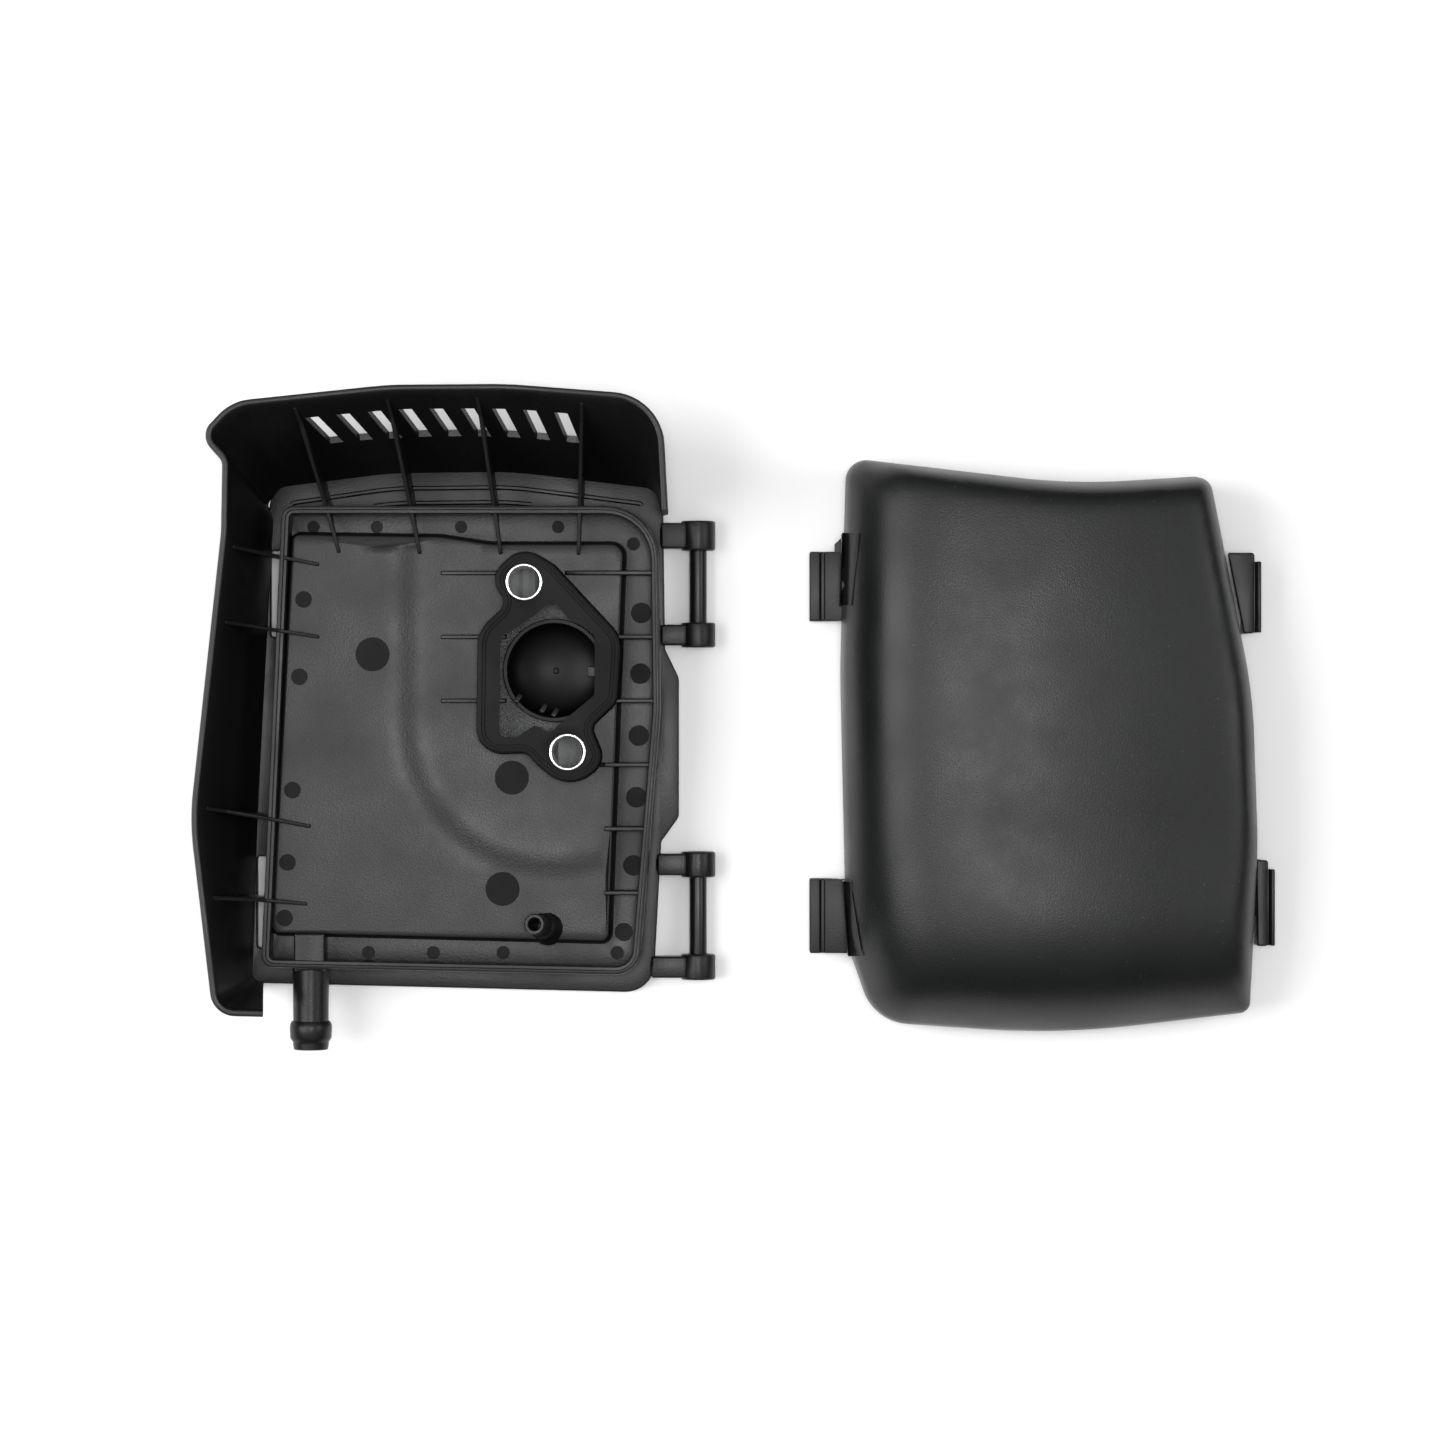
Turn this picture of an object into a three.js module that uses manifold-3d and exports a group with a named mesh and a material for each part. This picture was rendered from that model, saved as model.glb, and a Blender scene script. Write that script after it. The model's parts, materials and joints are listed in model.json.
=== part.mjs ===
// Air filter housing of a small engine: the base moulding lies rear side up and the cover beside it.
// Millimetres, +Z up. X = 0, Y = 0 of the shapes is the hinge line, half way between its two bars.
import * as THREE from 'three';
import { mergeVertices } from 'three/addons/utils/BufferGeometryUtils.js';
import Module from 'manifold-3d';

const wasm = await Module();
wasm.setup();

// Where the middle of the whole assembly lies, seen from the hinge line.
const CENTRE_X = 10.02;
const CENTRE_Y = 7.74;

// Clearances: two parts that rest on each other, and a part that turns or slides in another.
const GAP = 0.3;
const RUNNING = 0.35;

// Wall thicknesses.
const WALL = 1.8;
const SHROUD_WALL = 1.6;
const COVER_WALL = 2;
const RIB = 1.2;

// Heights above the front rim, which is the surface that the housing rests on.
const LIP_TOP = 3;
const GUTTER_UNDERSIDE = 11.5;
const GUTTER_TOP = 14;
const PLATE_UNDERSIDE = 17.8;
const PLATE_TOP = 20;
const FRAME_TOP = 24;
const FLANGE_TOP = 28;
const RIM_TOP = 42;

// Hinge: both bars lie on one line along Y.
const HINGE_Z = 4.2;
const BAR_RADIUS = 2.1;
const BARREL_RADIUS = 4.2;
const BARS = [
  { name: 'upper', middle: 40.2, clear: 17.6, ears: [7.2, 6], armStart: [-7.8, -7.8] },
  { name: 'lower', middle: -40, clear: 18.8, ears: [6.2, 6.2], armStart: [-8.7, -10.1] },
];
const BAR_IN_EAR = 5.4;
const EAR_ARM_Z = [1, 7.4];

// Hooks of the cover: radius behind the bar, reach in front of it and back to the skirt, and the
// room at each end. The lip is cut back to the notch where a hook swings past.
const HOOK_RADIUS = 3.85;
const HOOK_MOUTH = -3.4;
const HOOK_BACK = 8;
const HOOK_SIDE_GAP = 0.4;
const HOOK_NOTCH_X = -9.3;

// Distance that the cover lies from its hooked place.
const COVER_TRAVEL = 30.6;

// Cover: skirt edge height when it lies on its hooks, and rings of [height, inset] up to the crown.
const SKIRT_Z = 8.9;
const CROWN = [[SKIRT_Z, 0], [20, 1], [27, 3.5], [32.5, 9], [36, 20], [38, 36]];
const COVER_MIDDLE = [55, 0];

// Screw sleeves through the carburettor flange, 42 mm apart.
const SLEEVE_SPACING = 42;
const SLEEVE_RADIUS = 4.4;
const SLEEVE_BORE = 3.75;
const SLEEVE_FOOT = 10.4;
const BOSS_RADIUS = 6.4;
const UPPER_SLEEVE = [-41.5, 40.7];
const LOWER_SLEEVE_X = -31.1;

// Intake bowl, snapped into the back plate under the flange.
const BOWL_MIDDLE = [-34.4, 19.6];
const BOWL_RADIUS = 12.4;
const BOWL_FOOT = 10.2;

// Filter element in the chamber.
const SEAL_WIDTH = 5;
const SEAL_HEIGHTS = [0.5, 9.5];
const FOAM_HEIGHTS = [0.6, 3.4];
const PAPER_HEIGHTS = [3.8, 9.3];
const PLEAT_PITCH = 4.2;
const PAPER = 0.9;

// Breather spigot along -Y and the nipple on the back plate.
const SPIGOT = {
  x: -93.3, z: 18, bore: 3.1, collar: -53.2, tip: -71.8,
  halfBlock: 4, blockY: [-52, -46], blockTop: 22.5,
};
const NIPPLE = {
  foot: [-36.2, -42.4, PLATE_TOP + GAP], tip: [-38.9, -41, 32],
  radius: 2.5, rootRadius: 3.3, bore: 1.5,
};

// Outlines: corners are [x, y, radius].
const FRAME = [
  [-99.8, 59.1, 3], [-9.5, 59.1, 13], [-8.9, 10, 60], [-14.2, -53.6, 6], [-104.8, -51.7, 3],
];
const LIP = [
  [-104.6, 65, 7], [-75, 69.3, 80], [-45, 69.6, 80], [-8.6, 65, 6], [-8.1, 25, 2], [-4.7, 18, 4],
  [-4.7, -16, 3], [-9, -22, 2], [-11, -58.9, 7], [-109.6, -56.5, 3],
];
const PLATE = [
  [-97.8, 52.5, 2], [-62, 52, 20], [-50, 50.2, 20], [-17.8, 50.2, 3], [-21.4, -45.8, 2],
  [-102.8, -43.7, 2],
];
const FLANGE = [
  [-42, 49.5, 6], [-34.5, 45, 4], [-18.2, 27.5, 8], [-19.2, 12, 5], [-25.6, 6, 2.5], [-22, -2.5, 5],
  [-31, -9.5, 8], [-38.5, -3, 5], [-41, -0.2, 3], [-53, -0.6, 6], [-52.6, 29, 8], [-45.6, 35.5, 3],
  [-50, 42, 5],
];
const INTAKE = [
  [-34.6, 37.2, 3], [-40, 32.5, 4], [-47.6, 27.5, 3], [-47.9, 3.2, 2], [-43, 3.2, 2],
  [-38.8, 6.2, 1], [-35.6, 4, 2], [-32.6, 6.6, 1.5], [-24.3, 13.5, 2], [-24.2, 29, 3], [-30.5, 32, 2],
];
const COVER = [
  [5.4, 71.4, 5], [60, 65, 150], [93.2, 67, 4.5], [103.6, 14, 120], [104.9, -22, 120],
  [103.2, -63.2, 3], [57, -68.6, 200], [12.2, -65.6, 12], [5.4, -46, 30], [3.9, 20, 200],
];

// Louvred hood and side shroud: the same corners at the lip and at the outer rim.
const HOOD_FOOT = [
  [-7.3, 57.9, 0], [-9.4, 65.3, 5], [-45, 69.6, 80], [-75, 69.3, 80], [-103.3, 65.5, 7],
  [-105, 58.4, 0],
];
const HOOD_RIM = [
  [-6.9, 57.5, 0], [-8.3, 84.5, 13], [-45, 87.3, 80], [-75, 87.1, 80], [-114.4, 82.4, 6],
  [-115.4, 73.4, 0],
];
const SIDE_FOOT = [
  [-105.3, 57.6, 0], [-105.9, 44, 30], [-109, -15, 60], [-110.6, -60.6, 4], [-103.4, -61.2, 0],
];
const SIDE_RIM = [
  [-112.8, 71, 0], [-112.6, 52, 40], [-120.1, -16, 60], [-114.6, -62.3, 6], [-103.4, -62.6, 0],
];

// Louvres in the hood: nine slots that fan out a little towards the rim.
const LOUVRES = {
  count: 9,
  width: 3.3,
  low: { z: 21, middle: -58.2, pitch: 7.15 },
  high: { z: 34, middle: -62.2, pitch: 7.45 },
};

// Stiffening ribs: places where they leave the frame wall and where they reach the shroud.
const HOOD_RIBS = [[-89.3, -96.3], [-69, -73.8], [-48.9, -52.3], [-28.3, -27.4]];
const SIDE_RIBS = [[46.6, 49.7], [28.9, 31.4], [-16.4, -13.2], [-35.8, -34.2]];
const GUTTER_RIBS = [43.1, 27.7, 12.3, -3.1, -18.5, -33.9];
const SIDE_RIB_FOOT = 10;
const SIDE_RIB_X = [-99, -115];
const HOOD_REACH = 26;
const WALL_STEP = 7;

// Latches of the cover, given as the cover lies: leg, catch and finger strip.
const LATCHES = [
  {
    name: 'upper', leg: [101.9, 103.5], y: [28.7, 48.3],
    catchTip: 101.1, catchY: [36, 46], root: [98, 101.9],
  },
  {
    name: 'lower', leg: [105.2, 106.8], y: [-47.2, -26.3],
    catchTip: 104.6, catchY: [-40, -29], root: [105.2, 105.5],
  },
];
const LATCH_ROOT_Z = [9.2, 10.8];
const STRIP = { reach: 2.4, thickness: 1.3, top: 13, shorter: 2 };
const CATCH_Z = [2.6, 4.8];

const plastic = new THREE.MeshStandardMaterial({ color: 0x1a1a1b, roughness: 0.62 });
const coverPlastic = new THREE.MeshStandardMaterial({ color: 0x222223, roughness: 0.7 });
const barPlastic = new THREE.MeshStandardMaterial({ color: 0x161617, roughness: 0.5 });
const zinc = new THREE.MeshStandardMaterial({ color: 0xb9bcc0, roughness: 0.32, metalness: 1 });
const paper = new THREE.MeshStandardMaterial({ color: 0x9a9c9b, roughness: 0.9 });
const foam = new THREE.MeshStandardMaterial({ color: 0x3a3c3e, roughness: 1 });
const urethane = new THREE.MeshStandardMaterial({ color: 0xb4531f, roughness: 0.75 });

const housing = new THREE.Group();
housing.position.set(-CENTRE_X, -CENTRE_Y, 0);
const base = new THREE.Group();
const hinge = new THREE.Group();
const cover = new THREE.Group();
cover.position.x = COVER_TRAVEL;
housing.add(base, hinge, cover);

// ---- outlines -------------------------------------------------------------------------------

// The chords of the arc that rounds one corner between its two neighbours.
function cornerArc(before, corner, after, steps) {
  const here = new THREE.Vector2(corner[0], corner[1]);
  const radius = corner[2];
  if (radius === 0) return [here];
  const back = new THREE.Vector2(before[0], before[1]).sub(here).normalize();
  const on = new THREE.Vector2(after[0], after[1]).sub(here).normalize();
  const half = Math.acos(back.dot(on)) / 2;
  const inwards = back.clone().add(on).normalize();
  const middle = here.clone().addScaledVector(inwards, radius / Math.sin(half));
  const first = here.clone().addScaledVector(back, radius / Math.tan(half)).sub(middle);
  const last = here.clone().addScaledVector(on, radius / Math.tan(half)).sub(middle);
  const turn = Math.atan2(first.cross(last), first.dot(last));
  return Array.from({ length: steps + 1 }, (_, i) =>
    first.clone().rotateAround(new THREE.Vector2(), (turn * i) / steps).add(middle));
}

// Closed outline with rounded corners.
function rounded(corners, steps = 4) {
  const count = corners.length;
  return corners.flatMap((corner, i) =>
    cornerArc(corners[(i + count - 1) % count], corner, corners[(i + 1) % count], steps));
}

// Open line with rounded corners and free ends.
function roundedLine(corners, steps = 5) {
  const last = corners.length - 1;
  return corners.flatMap((corner, i) =>
    cornerArc(corners[Math.max(i - 1, 0)], corner, corners[Math.min(i + 1, last)], steps));
}

// The same corners with every side moved inwards; corners run clockwise.
function inset(corners, distance) {
  const count = corners.length;
  return corners.map((corner, i) => {
    const here = new THREE.Vector2(corner[0], corner[1]);
    const before = new THREE.Vector2(...corners[(i + count - 1) % count].slice(0, 2));
    const after = new THREE.Vector2(...corners[(i + 1) % count].slice(0, 2));
    const inDirection = here.clone().sub(before).normalize();
    const outDirection = after.clone().sub(here).normalize();
    const sum = new THREE.Vector2(inDirection.y, -inDirection.x)
      .add(new THREE.Vector2(outDirection.y, -outDirection.x));
    const moved = here.addScaledVector(sum, (2 * distance) / sum.lengthSq());
    const convex = inDirection.cross(outDirection) < 0;
    return [moved.x, moved.y, Math.max(corner[2] + (convex ? -distance : distance), 0.4)];
  });
}

// The line moved sideways, to its left.
function beside(line, distance) {
  return line.map((point, i) => {
    const before = line[Math.max(i - 1, 0)];
    const after = line[Math.min(i + 1, line.length - 1)];
    const along = after.clone().sub(before).normalize();
    return new THREE.Vector2(point.x - along.y * distance, point.y + along.x * distance);
  });
}

// Closed strip of the given width on the left of a line.
function thicken(line, width) {
  return line.concat(beside(line, width).reverse());
}

// ---- solids ---------------------------------------------------------------------------------

// Solid between rings of points that have the same count, one ring for each height.
function loft(rings, heights) {
  const lowest = rings[0].map(({ x, y }) => new THREE.Vector2(Math.fround(x), Math.fround(y)));
  const places = new Map(lowest.map((point, i) => [`${point.x},${point.y}`, i]));
  const steps = rings.length - 1;
  const options = { depth: steps, steps, bevelEnabled: false };
  const geometry = new THREE.ExtrudeGeometry(new THREE.Shape(lowest), options);
  const position = geometry.attributes.position;
  for (let i = 0; i < position.count; i += 1) {
    const ring = Math.round(position.getZ(i));
    const point = rings[ring][places.get(`${position.getX(i)},${position.getY(i)}`)];
    position.setXYZ(i, point.x, point.y, heights[ring]);
  }
  return geometry;
}

function prism(points, low, high) {
  return loft([points, points], [low, high]);
}

function block(x, y, z) {
  const geometry = new THREE.BoxGeometry(x[1] - x[0], y[1] - y[0], z[1] - z[0]);
  return geometry.translate((x[0] + x[1]) / 2, (y[0] + y[1]) / 2, (z[0] + z[1]) / 2);
}

function post(x, y, radius, low, high, sides = 20) {
  const geometry = new THREE.CylinderGeometry(radius, radius, high - low, sides);
  return geometry.rotateX(Math.PI / 2).translate(x, y, (low + high) / 2);
}

// Cylinder along Y.
function rod(x, z, radius, low, high, sides = 20) {
  const geometry = new THREE.CylinderGeometry(radius, radius, high - low, sides);
  return geometry.translate(x, (low + high) / 2, z);
}

// Outline in X and Z, drawn out along Y.
function alongY(outline, low, high) {
  return prism(outline, 0, high - low).rotateX(Math.PI / 2).translate(0, high, 0);
}

// Upright plate whose outline is [distance from start, height], standing on the line start to end.
function uprightPlate(start, end, outline, thickness) {
  const along = new THREE.Vector3(end[0] - start[0], end[1] - start[1], 0).normalize();
  const up = new THREE.Vector3(0, 0, 1);
  const across = along.clone().cross(up);
  const place = new THREE.Matrix4().makeBasis(along, up, across);
  place.setPosition(start[0], start[1], 0);
  const points = outline.map(([distance, height]) => new THREE.Vector2(distance, height));
  return prism(points, -thickness / 2, thickness / 2).applyMatrix4(place);
}

function solid(geometry) {
  const bare = geometry.clone();
  bare.deleteAttribute('normal');
  bare.deleteAttribute('uv');
  const merged = mergeVertices(bare, 1e-4);
  return new wasm.Manifold(new wasm.Mesh({
    numProp: 3,
    vertProperties: new Float32Array(merged.attributes.position.array),
    triVerts: new Uint32Array(merged.index.array),
  }));
}

function join(...pieces) {
  return pieces.reduce((whole, piece) => whole.add(piece));
}

function cut(whole, ...pieces) {
  return pieces.reduce((rest, piece) => rest.subtract(piece), whole);
}

function toGeometry(shape) {
  const mesh = shape.getMesh();
  const geometry = new THREE.BufferGeometry();
  const places = new Float32Array(mesh.vertProperties);
  geometry.setAttribute('position', new THREE.BufferAttribute(places, 3));
  geometry.setIndex(new THREE.BufferAttribute(new Uint32Array(mesh.triVerts), 1));
  return geometry;
}

function addPart(group, name, geometry, material) {
  const mesh = new THREE.Mesh(geometry, material);
  mesh.name = name;
  group.add(mesh);
}

function addSolid(group, name, shape, material) {
  addPart(group, name, toGeometry(shape), material);
}

// ---- base -----------------------------------------------------------------------------------

// Windows in the lip that the closed cover's latches reach through.
function latchWindows() {
  const room = { outside: 0.8, ends: 0.7 };
  return LATCHES.map(({ leg, y }) => solid(block(
    [-leg[1] - room.outside, -leg[0] + GAP],
    [y[0] - room.ends, y[1] + room.ends],
    [-1, LIP_TOP + 1],
  )));
}

// Notches in the lip between the ears of each hinge.
function hookNotches() {
  return BARS.map(({ middle, clear }) => solid(block(
    [HOOK_NOTCH_X, 0], [middle - clear / 2, middle + clear / 2], [-1, LIP_TOP + 1],
  )));
}

// Lip, chamber wall, gutter floor and the ribs that cross the gutter.
function baseTray() {
  const inside = rounded(inset(FRAME, WALL));
  const lip = solid(prism(rounded(LIP), 0, LIP_TOP));
  const wall = solid(prism(rounded(FRAME), 0, FRAME_TOP));
  const chamber = solid(prism(inside, -1, GUTTER_UNDERSIDE));
  const gutter = solid(prism(inside, GUTTER_TOP, FRAME_TOP + 1));
  const seat = solid(prism(rounded(inset(PLATE, -GAP)), GUTTER_UNDERSIDE - 1, FRAME_TOP + 1));
  const ribs = GUTTER_RIBS.map((y) =>
    solid(block([-22, -10], [y - RIB / 2, y + RIB / 2], [GUTTER_TOP - 1, FRAME_TOP - 2])));
  const breather = solid(block(
    [SPIGOT.x - SPIGOT.halfBlock, SPIGOT.x + SPIGOT.halfBlock],
    SPIGOT.blockY,
    [GUTTER_TOP - 1, SPIGOT.blockTop],
  ));
  const bore = solid(rod(SPIGOT.x, SPIGOT.z, SPIGOT.bore, SPIGOT.tip, SPIGOT.blockY[1] - 1.5));
  const shell = cut(join(lip, wall), chamber, gutter);
  return cut(join(shell, ...ribs, breather), seat, bore, ...latchWindows(), ...hookNotches());
}

function sleevePlaces() {
  const rise = Math.sqrt(SLEEVE_SPACING ** 2 - (LOWER_SLEEVE_X - UPPER_SLEEVE[0]) ** 2);
  return [UPPER_SLEEVE, [LOWER_SLEEVE_X, UPPER_SLEEVE[1] - rise]];
}

// Raised pan with its rim standing in the tray, the screw bosses and the ends of the gutter ribs.
function backPlate() {
  const pan = solid(prism(rounded(PLATE), GUTTER_UNDERSIDE, PLATE_TOP));
  const hollow = solid(prism(rounded(inset(PLATE, WALL)), GUTTER_UNDERSIDE - 1, PLATE_UNDERSIDE));
  const bosses = sleevePlaces().map(([x, y]) =>
    solid(post(x, y, BOSS_RADIUS, SLEEVE_FOOT, PLATE_UNDERSIDE + 1)));
  const holes = sleevePlaces().map(([x, y]) =>
    solid(post(x, y, SLEEVE_RADIUS + GAP, 0, PLATE_TOP + 1)));
  const intake = solid(post(...BOWL_MIDDLE, BOWL_RADIUS + GAP, 0, PLATE_TOP + 1, 36));
  return cut(join(cut(pan, hollow), ...bosses), intake, ...holes);
}

// Raised flange that the carburettor is screwed to.
function carbFlange() {
  const foot = PLATE_TOP + GAP;
  const boss = solid(prism(rounded(FLANGE), foot, FLANGE_TOP));
  const mouth = solid(prism(rounded(INTAKE), foot - 1, FLANGE_TOP + 1));
  const holes = sleevePlaces().map(([x, y]) =>
    solid(post(x, y, SLEEVE_RADIUS + GAP, foot - 1, FLANGE_TOP + 1)));
  return cut(boss, mouth, ...holes);
}

// Thin bowl with a domed floor, open at the side towards the chamber.
function intakeBowl() {
  const profile = [
    [0, BOWL_FOOT], [5, BOWL_FOOT + 0.5], [9, BOWL_FOOT + 2], [BOWL_RADIUS - 1, BOWL_FOOT + 3.6],
    [BOWL_RADIUS, BOWL_FOOT + 5], [BOWL_RADIUS, PLATE_TOP], [BOWL_RADIUS - 1.4, PLATE_TOP],
    [BOWL_RADIUS - 1.4, BOWL_FOOT + 5.4], [8.5, BOWL_FOOT + 3.6], [4.8, BOWL_FOOT + 2.1],
    [0, BOWL_FOOT + 1.6],
  ].map(([radius, height]) => new THREE.Vector2(radius, height));
  const turned = new THREE.LatheGeometry(profile, 32).rotateX(Math.PI / 2);
  const bowl = solid(turned.translate(BOWL_MIDDLE[0], BOWL_MIDDLE[1], 0));
  const windows = [5, -5].map((offset) => solid(block(
    [BOWL_MIDDLE[0] + 8, BOWL_MIDDLE[0] + 14],
    [BOWL_MIDDLE[1] + offset - 3.4, BOWL_MIDDLE[1] + offset + 3.4],
    [BOWL_FOOT + 3.2, PLATE_UNDERSIDE],
  )));
  return cut(bowl, ...windows);
}

function sleeve(x, y) {
  const outside = solid(post(x, y, SLEEVE_RADIUS, SLEEVE_FOOT, FLANGE_TOP + 0.2, 28));
  return cut(outside, solid(post(x, y, SLEEVE_BORE, 0, FLANGE_TOP + 1, 28)));
}

// Foot and rim lines of a wall, with the same extra points on their long stretches, so that the
// twisted wall between them is even.
function wallLines(footCorners, rimCorners) {
  const foot = roundedLine(footCorners);
  const rim = roundedLine(rimCorners);
  const lines = [[foot[0]], [rim[0]]];
  for (let i = 1; i < foot.length; i += 1) {
    const steps = Math.ceil(foot[i].distanceTo(foot[i - 1]) / WALL_STEP);
    for (let j = 1; j <= steps; j += 1) {
      lines[0].push(foot[i - 1].clone().lerp(foot[i], j / steps));
      lines[1].push(rim[i - 1].clone().lerp(rim[i], j / steps));
    }
  }
  return lines;
}

// Everything further in than a depth under the hood's and the side shroud's outer faces.
function shroudSpace(depth) {
  const walls = [wallLines(HOOD_FOOT, HOOD_RIM), wallLines(SIDE_FOOT, SIDE_RIM)];
  const rings = [0, 1].map((ring) => walls.flatMap((lines) => beside(lines[ring], depth)));
  return solid(loft(rings, [LIP_TOP + GAP, RIM_TOP]));
}

function shroudWall(foot, rim) {
  const rings = wallLines(foot, rim).map((line) => thicken(line, SHROUD_WALL));
  return solid(loft(rings, [LIP_TOP + GAP, RIM_TOP]));
}

function louvreCut(index) {
  const place = index - (LOUVRES.count - 1) / 2;
  const rings = [LOUVRES.low, LOUVRES.high].map(({ middle, pitch }) =>
    [[-1, 60], [1, 60], [1, 95], [-1, 95]].map(([side, y]) =>
      new THREE.Vector2(middle + place * pitch + (side * LOUVRES.width) / 2, y)));
  return solid(loft(rings, [LOUVRES.low.z, LOUVRES.high.z]));
}

// Space that the ribs must leave to the tray.
function trayClearance() {
  return solid(prism(rounded(inset(FRAME, -GAP)), 0, RIM_TOP));
}

function louvreHood() {
  const foot = LIP_TOP + GAP;
  const top = RIM_TOP - 3;
  const outline = [[0, foot], [40, foot], [40, top], [HOOD_REACH, top], [0, FRAME_TOP]];
  const frameY = FRAME[0][1];
  const ribs = HOOD_RIBS.map(([near, far]) =>
    solid(uprightPlate([near, frameY], [far, frameY + HOOD_REACH], outline, RIB)));
  const louvres = Array.from({ length: LOUVRES.count }, (_, i) => louvreCut(i));
  const trimmed = join(...ribs).intersect(shroudSpace(SHROUD_WALL / 2)).subtract(trayClearance());
  return join(cut(shroudWall(HOOD_FOOT, HOOD_RIM), ...louvres), trimmed);
}

// Ribs between the side shroud and the tray, each a solid of its own.
function sideRibs() {
  const foot = SIDE_RIB_FOOT;
  const top = RIM_TOP - 6;
  const outline = [[0, foot], [30, foot], [30, top], [14, top], [2, FRAME_TOP]];
  const space = shroudSpace(SHROUD_WALL + 2 * GAP).subtract(trayClearance());
  return SIDE_RIBS.map(([near, far]) =>
    solid(uprightPlate([SIDE_RIB_X[0], near], [SIDE_RIB_X[1], far], outline, RIB)).intersect(space));
}

// Hose spigot: collar, tube, barb and tip, turned about an axis along Y.
function breatherSpigot() {
  const { bore, collar, tip } = SPIGOT;
  const profile = [
    [bore, collar], [4.6, collar], [4.3, tip + 6.8], [5.1, tip + 5.3], [4.9, tip + 2.3],
    [4.1, tip], [bore, tip], [bore, collar],
  ].map(([radius, y]) => new THREE.Vector2(radius, y)).reverse();
  return new THREE.LatheGeometry(profile, 24).translate(SPIGOT.x, 0, SPIGOT.z);
}

function ventNipple() {
  const foot = new THREE.Vector3(...NIPPLE.foot);
  const tip = new THREE.Vector3(...NIPPLE.tip);
  const length = foot.distanceTo(tip) + 2;
  const lean = new THREE.Quaternion().setFromUnitVectors(
    new THREE.Vector3(0, 0, 1), tip.clone().sub(foot).normalize());
  const place = (geometry) => solid(geometry.applyQuaternion(lean).translate(tip.x, tip.y, tip.z));
  const tube = place(post(0, 0, NIPPLE.radius, -length, 0));
  const root = place(post(0, 0, NIPPLE.rootRadius, -length, -7));
  const bore = place(post(0, 0, NIPPLE.bore, -length + 4, 1));
  const below = solid(block([-60, -10], [-60, -20], [0, PLATE_TOP + GAP]));
  return cut(join(tube, root), bore, below);
}

// Bearing ear: an arm from the lip and a barrel round the bar.
function hingeEar(low, high, armStart) {
  const barrel = solid(rod(0, HINGE_Z, BARREL_RADIUS, low, high, 28));
  const arm = solid(block([armStart, 0], [low + 0.3, high - 0.3], EAR_ARM_Z));
  return cut(join(barrel, arm), solid(rod(0, HINGE_Z, BAR_RADIUS + RUNNING, low - 1, high + 1, 28)));
}

function addEars(bar) {
  const top = bar.middle + bar.clear / 2;
  const bottom = bar.middle - bar.clear / 2;
  const [topEar, bottomEar] = bar.ears;
  const [topArm, bottomArm] = bar.armStart;
  const ears = [
    hingeEar(top, top + topEar, topArm),
    hingeEar(bottom - bottomEar, bottom, bottomArm),
  ];
  ears.forEach((ear, i) => addSolid(base, `hinge_ear_${bar.name}_${i + 1}`, ear, plastic));
}

// ---- filter element -------------------------------------------------------------------------

const FILTER = inset(FRAME, WALL + 0.4);
const FILTER_INSIDE = inset(FRAME, WALL + 0.4 + SEAL_WIDTH);
const FILTER_CORE = inset(FRAME, WALL + 0.4 + SEAL_WIDTH + GAP);

function filterSeal() {
  const [low, high] = SEAL_HEIGHTS;
  const opening = solid(prism(rounded(FILTER_INSIDE), low - 1, high + 1));
  return cut(solid(prism(rounded(FILTER), low, high)), opening);
}

// One folded sheet: its zigzag section runs along X and every fold along Y.
function filterPaper() {
  const [low, high] = PAPER_HEIGHTS;
  const folds = Math.floor(96 / (PLEAT_PITCH / 2));
  const upper = [];
  const lower = [];
  for (let i = 0; i <= folds; i += 1) {
    const x = -106 + (i * PLEAT_PITCH) / 2;
    const atTop = i % 2 === 0;
    upper.push(new THREE.Vector2(x, atTop ? high : low + PAPER));
    lower.push(new THREE.Vector2(x, atTop ? high - PAPER : low));
  }
  const sheet = solid(alongY(lower.concat(upper.reverse()), -60, 70));
  return sheet.intersect(solid(prism(rounded(FILTER_CORE), low - 1, high + 1)));
}

// ---- hinge bars -----------------------------------------------------------------------------

function hingeBar(bar) {
  const half = bar.clear / 2 + BAR_IN_EAR;
  return rod(0, HINGE_Z, BAR_RADIUS, bar.middle - half, bar.middle + half, 24);
}

// ---- cover ----------------------------------------------------------------------------------

// The outline drawn in towards the middle of the cover by a fixed distance.
function drawnIn(points, distance) {
  const middle = new THREE.Vector2(...COVER_MIDDLE);
  return points.map((point) => {
    const away = point.clone().sub(middle);
    return middle.clone().addScaledVector(away, 1 - distance / away.length());
  });
}

function coverShell() {
  const outline = rounded(COVER, 5);
  const outside = loft(
    CROWN.map(([, distance]) => drawnIn(outline, distance)),
    CROWN.map(([z]) => z),
  );
  const inside = loft(
    CROWN.map(([, distance]) => drawnIn(outline, distance + COVER_WALL)),
    CROWN.map(([z], i) => (i === 0 ? SKIRT_Z - 1 : z - COVER_WALL)),
  );
  return cut(solid(outside), solid(inside));
}

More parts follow.
